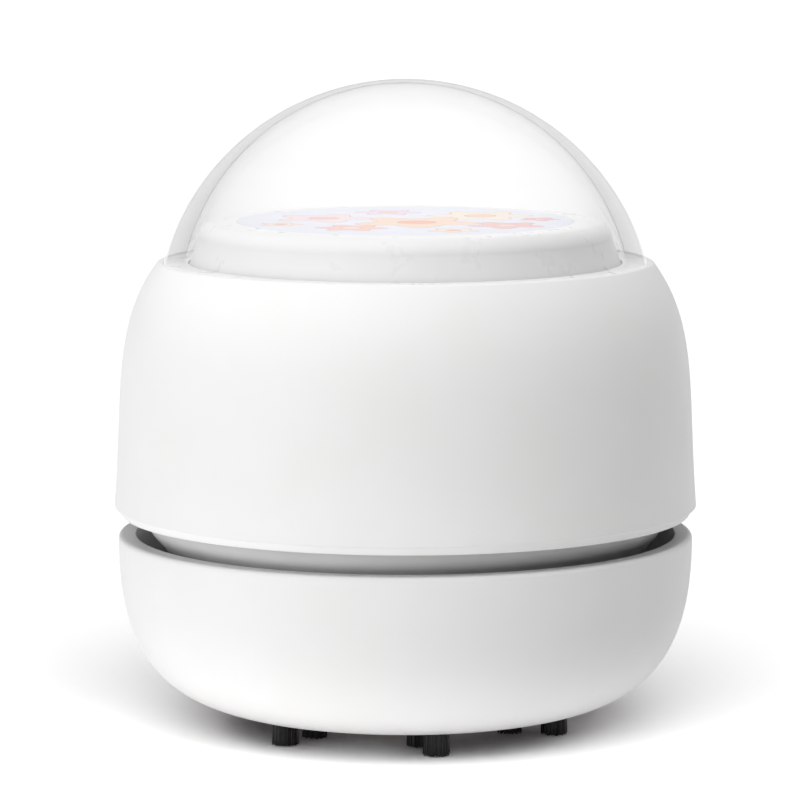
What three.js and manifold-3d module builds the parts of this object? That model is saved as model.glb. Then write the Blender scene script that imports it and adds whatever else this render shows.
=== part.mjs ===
// Desktop mini vacuum cleaner with a clear display dome, in millimetres, +Z up.
// The origin is on the table, on the axis of the body, where the bristle tips stand.

import * as THREE from 'three';
import { mergeVertices } from 'three/addons/utils/BufferGeometryUtils.js';
import Module from 'manifold-3d';

const wasm = await Module();
wasm.setup();

// Body: its widest circle, which the other circles follow
const shellRadius = 43.1;
const shellWall = 2.2;
const shellInnerRadius = shellRadius - shellWall;

// Fits and counts that several pieces share
const seatGap = 0.3;
const touchGap = 0.2;
const overrun = 1;
const bodySides = 40;
const ringSides = 32;
const roundSides = 16;
const motorSides = 20;
const smallSides = 8;
const curveSteps = 6;
const shellSteps = 8;

// Brush: how far it hangs below the cup, and its tufts
const brushDrop = 2.4;
const brushRecess = 1;
const backingThickness = 1.2;
const backingMargin = 0.45;
const backingCount = 3;
const pairsPerBacking = 2;
const outerTuftRingShare = 0.8657;
const innerTuftRingShare = 0.6231;
const outerTuftRadius = 2;
const innerTuftRadius = 1.9;
const outerTuftStrands = 29;
const innerTuftStrands = 22;
const strandRadius = 0.2;
const strandSides = 3;
const strandSplayShare = 0.14;
const strandRagged = 0.9;
const tuftTurn = 11;
const innerTuftLag = 4;

// Dust cup
const cupRimInset = 0.55;
const cupRimRadius = shellRadius - cupRimInset;
const cupHeight = 26.8;
const cupLip = 2.6;
const cupRimRound = 0.5;
const cupFootRadiusShare = 0.4818;
const cupFootRadius = cupRimRadius * cupFootRadiusShare;
const cupFloor = 3.4;
const cupSideShare = 0.592;
const cupFootShare = 0.785;
const ledgeDrop = 8;
const ledgeReach = 4;
const ledgeThickness = 1.5;

// Suction plate with the inlet duct
const plateRadiusShare = 0.6298;
const plateRadius = cupRimRadius * plateRadiusShare;
const plateFlangeReach = 3.3;
const plateFlangeThickness = 1.1;
const inletRadiusShare = 0.3732;
const inletRadius = plateRadius * inletRadiusShare;
const inletFlare = 2.2;
const ductWall = 1.4;
const ductClearance = 2.1;

// Filter
const filterFlangeInset = 5.35;
const filterFlangeRadius = cupRimRadius - filterFlangeInset;
const filterFlangeThickness = 1.4;
const basketRadiusShare = 0.715;
const basketRadius = filterFlangeRadius * basketRadiusShare;
const basketWall = 1.4;
const basketDepth = 5.2;
const basketSpokes = 6;
const basketSpokeWidth = 1.4;
const basketHubRadius = 4;
const pleatPitch = 2.6;
const pleatHeight = 3.2;
const pleatPaper = 0.6;
const gasketOffset = 0.9;
const gasketInner = basketRadius + gasketOffset;
const gasketWidth = 4;
const gasketThickness = 0.9;
const gasketLip = 0.25;
const gasketSteps = 5;

// Fan housing, the tapered neck that shows in the gap
const housingInset = 5;
const housingOuterRadius = shellRadius - housingInset;
const housingTaper = 3.1;
const housingBulgeRadius = 3.4;
const housingFloorRadius = housingOuterRadius - housingTaper - housingBulgeRadius;
const housingBulgeHeight = 2.2;
const housingTaperHeight = 3.5;
const housingCollar = 4.2;
const housingWall = 1.6;
const bulgeSteps = 4;
const eyeRadiusShare = 0.3956;
const eyeRadius = housingFloorRadius * eyeRadiusShare;
const guardSpokes = 6;
const guardSpokeWidth = 1.2;
const guardHubRadius = 3.2;
const postInset = 1;
const postRing = housingFloorRadius - postInset;
const postRadius = 2.9;
const postAngles = [20, 160, 270];

// Exhaust gap and the slotted ring above it
const exhaustGap = 3;
const ventBandInset = 0.7;
const ventBandRadius = shellRadius - ventBandInset;
const ventBandHeight = 1;
const ventBandRound = 0.3;
const ventRibs = 24;
const ventRibWidth = 1;
const ventRibHeight = 1.7;
const ventRibLift = 0.4;

// Upper shell
const shellHeight = 35.95;
const shellEdgeRound = 0.4;
const crestRadiusShare = 0.8492;
const crestRadius = shellRadius * crestRadiusShare;
const crestWidth = 0.9;
const crestRound = 0.15;
const grooveDepth = 2.4;
const shellTopThickness = 2;
const shellSideRadiusShare = 0.968;
const shellSideHeightShare = 0.472;
const shellShoulderRadiusShare = 1.007;
const shellShoulderHeightShare = 0.7475;
const bossInset = 7.4;
const bossRing = shellInnerRadius - bossInset;
const bossRadius = 2.8;
const bossAngles = [-8, 48, 132, 188];

// Motor deck, motor and shaft
const deckThickness = 2;
const deckAboveHousing = 1.6;
const motorRadiusShare = 0.2836;
const motorRadius = shellInnerRadius * motorRadiusShare;
const motorHeadroom = 4.9;
const motorEdge = 0.6;
const motorBossRadius = 3;
const motorBossHeight = 1.5;
const motorCapInset = 1.4;
const motorCapRadius = motorRadius - motorCapInset;
const motorCapHeight = 1.7;
const terminalWidth = 2;
const terminalThickness = 0.4;
const terminalHeight = 1.6;
const terminalSpacing = 11;
const sleeveThickness = 1;
const sleeveHeight = 7;
const collarWall = 1.4;
const shaftRadius = 1;
const shaftReach = 8.6;
const shaftInMotor = 4;

// Impeller
const impellerInset = 5;
const impellerRadius = housingFloorRadius - impellerInset;
const impellerPlate = 1.2;
const impellerClearance = 0.8;
const bladeHeightShare = 0.7;
const bladeCount = 9;
const bladeThickness = 1;
const bladeInnerRadiusShare = 0.357;
const bladeInnerRadius = impellerRadius * bladeInnerRadiusShare;
const bladeInletAngle = 32;
const bladeSweep = 52;
const bladeBendShare = 0.8;
const bladeSteps = 5;
const impellerHubRadius = 4.2;
const impellerDeckGap = 1.1;

// Screws
const screwRadius = 1;
const screwLength = 8;
const screwHeadRadius = 2.4;
const screwHeadHeight = 1.5;
const screwCrownShare = 0.7;
const pilotRadius = 1.35;
const pilotDepth = 9;

// Battery and its saddles
const cellRadiusShare = 0.1711;
const cellRadius = shellInnerRadius * cellRadiusShare;
const cellLengthShare = 1.149;
const cellLength = shellInnerRadius * cellLengthShare;
const cellNubRadius = 2.6;
const cellNubHeight = 0.9;
const cellOffsetShare = 0.5501;
const cellOffset = shellInnerRadius * cellOffsetShare;
const saddleFloor = 1.2;
const saddleWidth = 5;
const saddleSpacingShare = 0.638;
const saddleSpacing = cellLength * saddleSpacingShare;
const saddleWall = 1.4;
const saddleHeightShare = 0.786;
const saddleHeight = cellRadius * saddleHeightShare;
const tabWidth = 6;
const tabThickness = 0.4;

// Board, port, light and switch at the back
const boardWidthShare = 0.6846;
const boardWidth = shellInnerRadius * boardWidthShare;
const boardHeadroom = 5.4;
const boardThickness = 1.6;
const boardInset = 10.5;
const boardOffset = shellInnerRadius - boardInset;
const portHeightShare = 0.166;
const portWidth = 9;
const portThickness = 3.3;
const portWall = 0.4;
const portRecess = 1.4;
const portSteps = 5;
const portBackWall = 1.2;
const lightHeightShare = 0.332;
const lightRadius = 1.1;
const lightInset = 0.1;
const switchClearance = 0.8;
const switchBodyDepth = 2.3;
const plungerRadius = 1.2;
const plungerReach = 0.7;

// Power button and its spring
const buttonHeightShare = 0.61;
const buttonRadiusShare = 0.1877;
const buttonTravel = 1;
const buttonProud = 0.85;
const buttonEdge = 0.5;
const buttonFlangeReach = 1;
const buttonFlangeThickness = 1;
const buttonFlangeInset = 3.5;
const buttonFlangeOffset = shellInnerRadius - buttonFlangeInset;
const buttonStemRadius = 1.6;
const springInset = 0.9;
const springWire = 0.55;
const springTurns = 4;
const springStepsPerTurn = 8;
const springSides = 5;

// Leads
const leadRadius = 0.6;
const leadSides = 5;
const leadSteps = 8;
const leadBendShare = 0.7;
const leadEndShare = 0.42;

// Display stage, print disc and dome
const domeHeightShare = 0.7391;
const domeHeight = crestRadius * domeHeightShare;
const domeWallTop = 0.8;
const domeFootWall = 3;
const domeSteps = 7;
const domeStageGap = 0.4;
const stageSkirt = 1.4;
const stageTaper = 1.2;
const stageHeight = 8.1;
const stageRound = 2.1;
const stageRoundEnd = 75;
const stageRoundSteps = 4;
const stageWall = 1.8;
const stageRim = 3.9;
const discThickness = 0.7;
const discRecess = 0.9;

// Materials
const colours = {
  whiteShell: '#eeeeee',
  whiteInner: '#d9dadb',
  greyNeck: '#bcbcbc',
  blackNylon: '#1b1b1c',
  rubber: '#2a2a2c',
  paper: '#e6e2d6',
  steel: '#a9abad',
  board: '#1e5a3a',
  clear: '#f4f7f8',
  print: '#c9d0ea',
  cell: '#3f78b5',
  red: '#b3262a',
  black: '#18181a',
  light: '#e9edf2',
};

const group = new THREE.Group();

// Adds one named piece to the model
function addPiece(name, geometry, colour, roughness, metalness = 0, opacity = 1) {
  const material = new THREE.MeshStandardMaterial({ color: colour, roughness, metalness });
  material.opacity = opacity;
  material.transparent = opacity < 1;
  const mesh = new THREE.Mesh(geometry, material);
  mesh.name = name;
  group.add(mesh);
  return mesh;
}

// Merges shared corners and drops triangles without area
function weld(geometry) {
  const bare = geometry.clone();
  bare.deleteAttribute('normal');
  bare.deleteAttribute('uv');
  const merged = mergeVertices(bare);
  const index = merged.getIndex().array;
  const kept = [];
  for (let i = 0; i < index.length; i += 3) {
    const [a, b, c] = [index[i], index[i + 1], index[i + 2]];
    if (a !== b && b !== c && c !== a) kept.push(a, b, c);
  }
  merged.setIndex(kept);
  return merged;
}

function toSolid(geometry) {
  const merged = weld(geometry);
  return new wasm.Manifold(new wasm.Mesh({
    numProp: 3,
    vertProperties: new Float32Array(merged.getAttribute('position').array),
    triVerts: new Uint32Array(merged.getIndex().array),
  }));
}

function toGeometry(solid) {
  const mesh = solid.getMesh();
  const geometry = new THREE.BufferGeometry();
  geometry.setAttribute('position', new THREE.BufferAttribute(new Float32Array(mesh.vertProperties), 3));
  geometry.setIndex(Array.from(mesh.triVerts));
  return geometry;
}

function join(base, ...others) {
  let solid = toSolid(base);
  for (const other of others) solid = solid.add(toSolid(other));
  return toGeometry(solid);
}

function cut(base, ...tools) {
  let solid = toSolid(base);
  for (const tool of tools) solid = solid.subtract(toSolid(tool));
  return toGeometry(solid);
}

function overlapOf(base, other) {
  return toGeometry(toSolid(base).intersect(toSolid(other)));
}

// Turns a closed profile of [radius, height] pairs about the Z axis
function revolve(profile, sides) {
  let area = 0;
  profile.forEach(([r, z], i) => {
    const [nextR, nextZ] = profile[(i + 1) % profile.length];
    area += r * nextZ - nextR * z;
  });
  const loop = area < 0 ? [...profile].reverse() : [...profile];
  const onAxis = loop.filter(([r]) => r === 0).length;
  if (onAxis === 0) loop.push(loop[0]);
  const start = loop.findIndex(([r], i) => r === 0 && loop[(i + 1) % loop.length][0] > 0);
  const ordered = onAxis === 0 ? loop : [...loop.slice(start), ...loop.slice(0, start)];
  const geometry = new THREE.LatheGeometry(ordered.map(([r, z]) => new THREE.Vector2(r, z)), sides);
  return weld(geometry.rotateX(Math.PI / 2));
}

function ring(innerRadius, outerRadius, low, high, sides) {
  return revolve([[innerRadius, low], [outerRadius, low], [outerRadius, high], [innerRadius, high]], sides);
}

function disc(radius, low, high, sides) {
  return revolve([[0, low], [radius, low], [radius, high], [0, high]], sides);
}

// A round bar along +Y from one distance to another, at a height above the table
function barAlongY(radius, near, far, height, sides) {
  const geometry = new THREE.CylinderGeometry(radius, radius, far - near, sides);
  return geometry.translate(0, (near + far) / 2, height);
}

// A box given by its sides and the middle of its base
function block(width, depth, height, x, y, low) {
  return new THREE.BoxGeometry(width, depth, height).translate(x, y, low + height / 2);
}

// An outline in the plane of the table, raised from one height to another
function prism(shape, low, high, curveSegments = smallSides) {
  const geometry = new THREE.ExtrudeGeometry(shape, {
    depth: high - low,
    bevelEnabled: false,
    curveSegments,
  });
  return geometry.translate(0, 0, low);
}

function sectorShape(innerRadius, outerRadius, start, end) {
  const shape = new THREE.Shape();
  shape.absarc(0, 0, outerRadius, start, end, false);
  shape.absarc(0, 0, innerRadius, end, start, true);
  return shape;
}

const radians = THREE.MathUtils.degToRad;

function polar(radius, angle) {
  return [radius * Math.cos(radians(angle)), radius * Math.sin(radians(angle))];
}

// The place on a chain of [radius, height] pairs where one coordinate has a value
function crossing(points, axis, value) {
  for (let i = 1; i < points.length; i += 1) {
    const [from, to] = [points[i - 1], points[i]];
    const span = to[axis] - from[axis];
    const share = (value - from[axis]) / span;
    if (span !== 0 && share >= 0 && share <= 1) {
      return [from[0] + (to[0] - from[0]) * share, from[1] + (to[1] - from[1]) * share];
    }
  }
  throw new Error('the outline does not reach ' + value);
}

function curvePoints(corners, steps) {
  const curve = new THREE.CubicBezierCurve(...corners.map(([r, z]) => new THREE.Vector2(r, z)));
  return curve.getPoints(steps).map((point) => [point.x, point.y]);
}

// Points of a round or elliptic arc from one angle to another
function arcPoints(centreR, centreZ, radiusR, radiusZ, startAngle, endAngle, steps) {
  const points = [];
  for (let i = 0; i <= steps; i += 1) {
    const angle = radians(startAngle + (endAngle - startAngle) * i / steps);
    points.push([centreR + radiusR * Math.cos(angle), centreZ + radiusZ * Math.sin(angle)]);
  }
  return points;
}

function radialBar(innerRadius, outerRadius, width, low, height, angle) {
  const bar = block(outerRadius - innerRadius, width, height, (innerRadius + outerRadius) / 2, 0, low);
  return bar.rotateZ(radians(angle));
}

// Heights that the pieces share, from the table up
const cupBase = brushDrop;
const cupTop = cupBase + cupHeight;
const cupFloorTop = cupBase + cupFloor;
const cupInnerRadius = cupRimRadius - cupLip;
const ledgeTop = cupTop - ledgeDrop;
const filterFlangeLow = ledgeTop + seatGap;
const filterFlangeTop = filterFlangeLow + filterFlangeThickness;
const basketLow = filterFlangeLow - basketDepth;
const ductTop = basketLow - ductClearance;
const gasketLow = filterFlangeTop + touchGap;
const gasketTop = gasketLow + gasketThickness;
const housingLow = gasketTop + seatGap;
const housingFloorTop = housingLow + housingWall;
const taperLow = housingLow + housingBulgeHeight;
const taperTop = taperLow + housingTaperHeight;
const housingTop = taperTop + housingCollar;
const shellLow = cupTop + exhaustGap + ventBandHeight + touchGap;
const shellCrest = shellLow + shellHeight;
const deckLow = housingTop + deckAboveHousing;
const deckTop = deckLow + deckThickness;
const grooveFloor = shellCrest - grooveDepth;
const shellCeiling = grooveFloor - shellTopThickness;
const innerHeight = shellCeiling - deckTop;
const portHeight = deckTop + innerHeight * portHeightShare;
const lightHeight = deckTop + innerHeight * lightHeightShare;
const buttonHeight = deckTop + innerHeight * buttonHeightShare;
const buttonRadius = innerHeight * buttonRadiusShare;
const springRadius = buttonRadius - springInset;
const switchBodyWidth = (springRadius - springWire / 2 - switchClearance) * Math.SQRT2;
const grooveRadius = crestRadius - crestWidth;
const outerTuftRing = plateRadius * outerTuftRingShare;
const innerTuftRing = plateRadius * innerTuftRingShare;

// The cup's outer outline, from its flat foot to the rim
const cupRimEdge = cupTop - cupRimRound;
const cupOutline = curvePoints([
  [cupFootRadius, cupBase],
  [cupFootRadius + (cupRimRadius - cupFootRadius) * cupFootShare, cupBase],
  [cupRimRadius, cupRimEdge - (cupRimEdge - cupBase) * cupSideShare],
  [cupRimRadius, cupRimEdge],
], curveSteps);

// Dust cup: a bowl with a ledge inside that carries the filter, open at the foot for the suction plate
function makeDustCup() {
  const openingRadius = plateRadius + seatGap;
  const outer = cupOutline.filter(([r]) => r > openingRadius);
  const floorRadius = plateRadius + plateFlangeReach + 2 * seatGap;
  const inner = curvePoints([
    [floorRadius, cupFloorTop],
    [floorRadius + (cupInnerRadius - floorRadius) * cupFootShare, cupFloorTop],
    [cupInnerRadius, cupRimEdge - (cupRimEdge - cupFloorTop) * cupSideShare],
    [cupInnerRadius, cupRimEdge],
  ], curveSteps);
  const ledgeInner = crossing(inner, 1, ledgeTop)[0] - ledgeReach;
  const ledgeFoot = ledgeTop - ledgeThickness - ledgeReach;
  return revolve([
    crossing(cupOutline, 0, openingRadius),
    ...outer,
    [cupRimRadius - cupRimRound, cupTop],
    [cupInnerRadius, cupTop],
    ...inner.filter(([, z]) => z > ledgeTop).reverse(),
    crossing(inner, 1, ledgeTop),
    [ledgeInner, ledgeTop],
    [ledgeInner, ledgeTop - ledgeThickness],
    crossing(inner, 1, ledgeFoot),
    ...inner.filter(([, z]) => z < ledgeFoot).reverse(),
    [openingRadius, cupFloorTop],
  ], bodySides);
}

// Where each tuft stands: [ring radius, tuft radius, strands, angle within its backing]
const pairAngle = 360 / (backingCount * pairsPerBacking);
const backingSpan = 360 / backingCount;
const tuftRings = [
  [outerTuftRing, outerTuftRadius, outerTuftStrands, 0],
  [innerTuftRing, innerTuftRadius, innerTuftStrands, -innerTuftLag],
];
const backingLow = cupBase + brushRecess;
const backingTop = backingLow + backingThickness;
const backingInner = innerTuftRing - innerTuftRadius - backingMargin;
const backingOuter = outerTuftRing + outerTuftRadius + backingMargin;

// Half the angle that a backing covers, past its outermost tufts
const backingHalf = pairAngle * (pairsPerBacking - 1) / 2 + innerTuftLag / 2
  + THREE.MathUtils.radToDeg((innerTuftRadius + backingMargin) / innerTuftRing);

// The middle of a backing, counted from the front of the body
function backingMiddle(index) {
  return -90 + tuftTurn + backingSpan * index + pairAngle * (pairsPerBacking - 1) / 2 - innerTuftLag / 2;
}

// One strand: a slim prism from inside the backing to its own tip, cut level
function strandGeometry(baseX, baseY, tipX, tipY, tip, turn) {
  const root = backingLow + backingThickness / 2;
  const corners = [[], []];
  for (let side = 0; side < strandSides; side += 1) {
    const angle = turn + side * 2 * Math.PI / strandSides;
    const offsetX = strandRadius * Math.cos(angle);
    const offsetY = strandRadius * Math.sin(angle);
    corners[0].push(baseX + offsetX, baseY + offsetY, root);
    corners[1].push(tipX + offsetX, tipY + offsetY, tip);
  }
  const index = [];
  for (let side = 0; side < strandSides; side += 1) {
    const next = (side + 1) % strandSides;
    index.push(side, strandSides + next, next, side, strandSides + side, strandSides + next);
    if (side > 0 && next > 0) {
      index.push(0, side, next, strandSides, strandSides + next, strandSides + side);
    }
  }
  const geometry = new THREE.BufferGeometry();
  geometry.setAttribute('position', new THREE.Float32BufferAttribute(corners.flat(), 3));
  geometry.setIndex(index);
  return geometry;
}

// Bristles: black nylon strands in round tufts, standing in a slice of their backing
function makeBristles(backing) {
  const middle = radians(backingMiddle(backing));
  const half = radians(backingHalf);
  const goldenAngle = Math.PI * (3 - Math.sqrt(5));
  const outline = sectorShape(backingInner, backingOuter, middle - half, middle + half);
  const slice = prism(outline, backingLow, backingTop);
  const strands = [];
  for (let pair = 0; pair < pairsPerBacking; pair += 1) {
    for (const [ringRadius, tuftRadius, count, lag] of tuftRings) {
      const angle = -90 + tuftTurn + backingSpan * backing + pairAngle * pair + lag;
      const [tuftX, tuftY] = polar(ringRadius, angle);
      for (let i = 0; i < count; i += 1) {
        const reach = (tuftRadius - strandRadius) * Math.sqrt((i + 0.5) / count);
        const turn = i * goldenAngle;
        const [x, y] = [reach * Math.cos(turn), reach * Math.sin(turn)];
        const ragged = strandRagged * (0.5 + 0.5 * Math.sin(turn * 7 + pair)) - strandRagged / 2;
        const spread = 1 + strandSplayShare;
        strands.push(strandGeometry(
          tuftX + x, tuftY + y, tuftX + x * spread, tuftY + y * spread, Math.max(ragged, 0), turn,
        ));
      }
    }
  }
  return join(slice, ...strands);
}

// Suction plate: closes the cup's foot, holds the brush backings and carries the inlet duct
function makeSuctionPlate() {
  const flangeLow = cupFloorTop + seatGap;
  const flangeTop = flangeLow + plateFlangeThickness;
  const ductOuter = inletRadius + ductWall;
  const body = revolve([
    [inletRadius + inletFlare, cupBase],
    ...cupOutline.filter(([r]) => r < plateRadius),
    crossing(cupOutline, 0, plateRadius),
    [plateRadius, flangeLow],
    [plateRadius + plateFlangeReach, flangeLow],
    [plateRadius + plateFlangeReach, flangeTop],
    [ductOuter + ductWall, flangeTop],
    [ductOuter, flangeTop + ductWall],
    [ductOuter, ductTop],
    [inletRadius, ductTop],
    [inletRadius, cupBase + inletFlare],
  ], ringSides);
  const recesses = [];
  for (let backing = 0; backing < backingCount; backing += 1) {
    const middle = radians(backingMiddle(backing));
    const half = radians(backingHalf) + seatGap / backingInner;
    const inner = backingInner - seatGap;
    const outer = backingOuter + seatGap;
    const outline = sectorShape(inner, outer, middle - half, middle + half);
    recesses.push(prism(outline, cupBase - overrun, backingTop + seatGap));
  }
  return cut(body, ...recesses);
}

// Filter frame: a flange on the cup's ledge, with a basket of spokes below it
function makeFilterFrame() {
  const basketInner = basketRadius - basketWall;
  const frame = revolve([
    [basketInner, basketLow],
    [basketRadius, basketLow],
    [basketRadius, filterFlangeLow],
    [filterFlangeRadius, filterFlangeLow],
    [filterFlangeRadius, filterFlangeTop],
    [basketInner, filterFlangeTop],
  ], ringSides);
  const hub = disc(basketHubRadius, basketLow, basketLow + basketWall, roundSides);
  const spokes = [];
  for (let i = 0; i < basketSpokes; i += 1) {
    const reach = basketInner + basketWall / 2;
    spokes.push(radialBar(0, reach, basketSpokeWidth, basketLow, basketWall, i * 360 / basketSpokes));
  }
  return join(frame, hub, ...spokes);
}

// Filter element: a round pad of folded paper
function makeFilterElement() {
  const radius = basketRadius - basketWall - seatGap;
  const low = basketLow + basketWall + touchGap;
  const folds = Math.ceil(radius / pleatPitch) * 2;
  const upper = [];
  const lower = [];
  for (let i = 0; i <= folds * 2; i += 1) {
    const x = (i / 2 - folds / 2) * pleatPitch;
    const rise = i % 2 === 0 ? 0 : pleatHeight - pleatPaper;
    lower.push([x, low + rise]);
    upper.push([x, low + rise + pleatPaper]);
  }
  const shape = new THREE.Shape([...lower, ...upper.reverse()].map(([x, z]) => new THREE.Vector2(x, z)));
  const strip = new THREE.ExtrudeGeometry(shape, { depth: 2 * (radius + overrun), bevelEnabled: false });
  strip.rotateX(Math.PI / 2).translate(0, radius + overrun, 0);
  return overlapOf(strip, disc(radius, low - overrun, low + pleatHeight + overrun, ringSides));
}

// Filter gasket: a flat rubber ring with two raised lips
function makeFilterGasket() {
  const outer = gasketInner + gasketWidth;
  const step = gasketWidth / gasketSteps;
  const flat = gasketTop - gasketLip;
  return revolve([
    [gasketInner, gasketLow],
    [outer, gasketLow],
    [outer, gasketTop],
    [outer - step, gasketTop],
    [outer - 2 * step, flat],
    [gasketInner + 2 * step, flat],
    [gasketInner + step, gasketTop],
    [gasketInner, gasketTop],
  ], ringSides);
}

// Fan housing: a bowl round the fan that widens to its collar, with the air eye, its finger guard and
// three screw posts
function makeFanHousing() {
  const bulge = arcPoints(housingFloorRadius, taperLow, housingBulgeRadius, housingBulgeHeight,
    -90, 0, bulgeSteps);
  const hollow = arcPoints(housingFloorRadius, taperLow, housingBulgeRadius - housingWall,
    housingBulgeHeight - housingWall, 0, -90, bulgeSteps);
  const bowl = revolve([
    [eyeRadius, housingLow],
    ...bulge,
    [housingOuterRadius, taperTop],
    [housingOuterRadius, housingTop],
    [housingOuterRadius - housingWall, housingTop],
    [housingOuterRadius - housingWall, taperTop],
    ...hollow,
    [eyeRadius, housingFloorTop],
  ], bodySides);
  const additions = [disc(guardHubRadius, housingLow, housingFloorTop, smallSides)];
  for (let i = 0; i < guardSpokes; i += 1) {
    const reach = eyeRadius + overrun;
    additions.push(radialBar(0, reach, guardSpokeWidth, housingLow, housingWall, i * 360 / guardSpokes));
  }
  const pilots = [];
  const postTop = deckLow - seatGap;
  for (const angle of postAngles) {
    const [x, y] = polar(postRing, angle);
    const postLow = housingFloorTop - housingWall / 2;
    additions.push(disc(postRadius, postLow, postTop, smallSides).translate(x, y, 0));
    pilots.push(disc(pilotRadius, postTop - pilotDepth, postTop + overrun, smallSides).translate(x, y, 0));
  }
  return cut(join(bowl, ...additions), ...pilots);
}

// Vent ring: the thin band under the shell, with the ribs of the exhaust slots inside it
function makeVentRing() {
  const low = cupTop + exhaustGap;
  const bandInner = shellInnerRadius - 3 * seatGap;
  const band = revolve([
    [bandInner, low],
    [ventBandRadius - ventBandRound, low],
    [ventBandRadius, low + ventBandRound],
    [ventBandRadius, low + ventBandHeight],
    [bandInner, low + ventBandHeight],
  ], bodySides);
  const ribs = [];
  for (let i = 0; i < ventRibs; i += 1) {
    const [inner, outer] = [housingOuterRadius + seatGap, bandInner + seatGap];
    ribs.push(radialBar(inner, outer, ventRibWidth, low + ventRibLift, ventRibHeight, i * 360 / ventRibs));
  }
  return join(band, ...ribs);
}

// Two outlines of the upper shell, from its lower edge to the shoulder
const shellSideZ = shellLow + shellHeight * shellSideHeightShare;
const shellShoulderZ = shellLow + shellHeight * shellShoulderHeightShare;
const shellCurve = new THREE.CubicBezierCurve(
  new THREE.Vector2(shellRadius, shellLow + shellEdgeRound),
  new THREE.Vector2(shellRadius * shellSideRadiusShare, shellSideZ),
  new THREE.Vector2(shellRadius * shellShoulderRadiusShare, shellShoulderZ),
  new THREE.Vector2(crestRadius, shellCrest),
);

// Points of the shell's outline, moved inwards by a wall
function shellOutline(inset, steps) {
  const points = [];
  for (let i = 0; i <= steps; i += 1) {
    const point = shellCurve.getPoint(i / steps);
    const tangent = shellCurve.getTangent(i / steps);
    points.push([point.x - inset * tangent.y, point.y + inset * tangent.x]);
  }
  return points;
}

const shellOuter = shellOutline(0, shellSteps);
const shellInner = shellOutline(shellWall, curveSteps);

// Upper shell: a bell with a groove at the top for the dome, bosses inside and openings at the back
function makeUpperShell() {
  const bell = revolve([
    [0, grooveFloor],
    [0, shellCeiling],
    crossing(shellInner, 1, shellCeiling),
    ...shellInner.filter(([, z]) => z < shellCeiling && z > shellLow + shellEdgeRound).reverse(),
    [shellInnerRadius, shellLow],
    [shellRadius - shellEdgeRound, shellLow],
    ...shellOuter,
    [crestRadius - crestWidth / 2, shellCrest + crestRound],
    [grooveRadius, shellCrest],
    [grooveRadius, grooveFloor],
  ], bodySides);
  const bosses = [];
  const pilots = [];
  const bossLow = deckTop + seatGap;
  for (const angle of bossAngles) {
    const [x, y] = polar(bossRing, angle);
    const bossTop = shellCeiling + shellTopThickness / 2;
    bosses.push(disc(bossRadius, bossLow, bossTop, smallSides).translate(x, y, 0));
    pilots.push(disc(pilotRadius, bossLow - overrun, bossLow + pilotDepth, smallSides).translate(x, y, 0));
  }
  const far = shellRadius + overrun;
  const near = buttonFlangeOffset;
  const windows = [
    barAlongY(buttonRadius + seatGap, near, far, buttonHeight, roundSides),
    barAlongY(lightRadius + seatGap, near, far, lightHeight, smallSides),
    portBar(portWidth + 2 * seatGap, portThickness + 2 * seatGap, near, far),
  ];
  return cut(join(bell, ...bosses), ...pilots, ...windows);
}

// A bar of the port's rounded outline, along +Y from one distance to another
function portBar(width, thickness, near, far) {
  const radius = thickness / 2;
  const flat = width / 2 - radius;
  const shape = new THREE.Shape();
  shape.absarc(flat, 0, radius, -Math.PI / 2, Math.PI / 2, false);
  shape.absarc(-flat, 0, radius, Math.PI / 2, 3 * Math.PI / 2, false);
  const bar = new THREE.ExtrudeGeometry(shape, {
    depth: far - near,
    bevelEnabled: false,
    curveSegments: portSteps,
  });
  return bar.rotateX(Math.PI / 2).translate(0, far, portHeight);
}

// Motor deck: a round floor under the shell with the collar that holds the motor
const sleeveInner = motorRadius + seatGap;
const sleeveOuter = sleeveInner + sleeveThickness;
const motorLow = deckTop + seatGap;
const motorHeight = shellCeiling - motorHeadroom - motorLow;

function makeMotorDeck() {
  const collarInner = sleeveOuter + seatGap;
  const plate = revolve([
    [motorBossRadius + seatGap, deckLow],
    [shellInnerRadius - 2 * seatGap, deckLow],
    [shellInnerRadius - 2 * seatGap, deckTop],
    [collarInner + collarWall, deckTop],
    [collarInner + collarWall, motorLow + sleeveHeight],
    [collarInner, motorLow + sleeveHeight],
    [collarInner, deckTop],
    [motorBossRadius + seatGap, deckTop],
  ], ringSides);
  const places = [
    ...postAngles.map((angle) => polar(postRing, angle)),
    ...bossAngles.map((angle) => polar(bossRing, angle)),
  ];
  const holes = places.map(([x, y]) => (
    disc(pilotRadius, deckLow - overrun, deckTop + overrun, smallSides).translate(x, y, 0)
  ));
  return cut(plate, ...holes);
}

// Motor: a steel can with a bearing boss and the bore that its shaft turns in
function makeMotorCan() {
  const top = motorLow + motorHeight;
  const bore = shaftRadius + seatGap;
  return revolve([
    [0, motorLow + shaftInMotor + seatGap],
    [bore, motorLow + shaftInMotor + seatGap],
    [bore, motorLow - motorBossHeight],
    [motorBossRadius, motorLow - motorBossHeight],
    [motorBossRadius, motorLow],
    [motorRadius - motorEdge, motorLow],
    [motorRadius, motorLow + motorEdge],
    [motorRadius, top - motorEdge],
    [motorRadius - motorEdge, top],
    [0, top],
  ], motorSides);
}

function makeMotorEndCap() {
  const low = motorLow + motorHeight + seatGap;
  const top = low + motorCapHeight;
  const plate = disc(motorCapRadius, low, top, motorSides);
  const terminals = [-1, 1].map((side) => {
    const x = side * terminalSpacing / 2;
    return block(terminalWidth, terminalThickness, terminalHeight + overrun, x, 0, top - overrun);
  });
  return join(plate, ...terminals);
}

// Impeller: a plate with backward-curved blades under it, and a hub that the shaft passes
const bladeLow = housingFloorTop + impellerClearance;
const impellerTop = deckLow - impellerDeckGap;
const bladeTop = bladeLow + (impellerTop - bladeLow) * bladeHeightShare;

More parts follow.
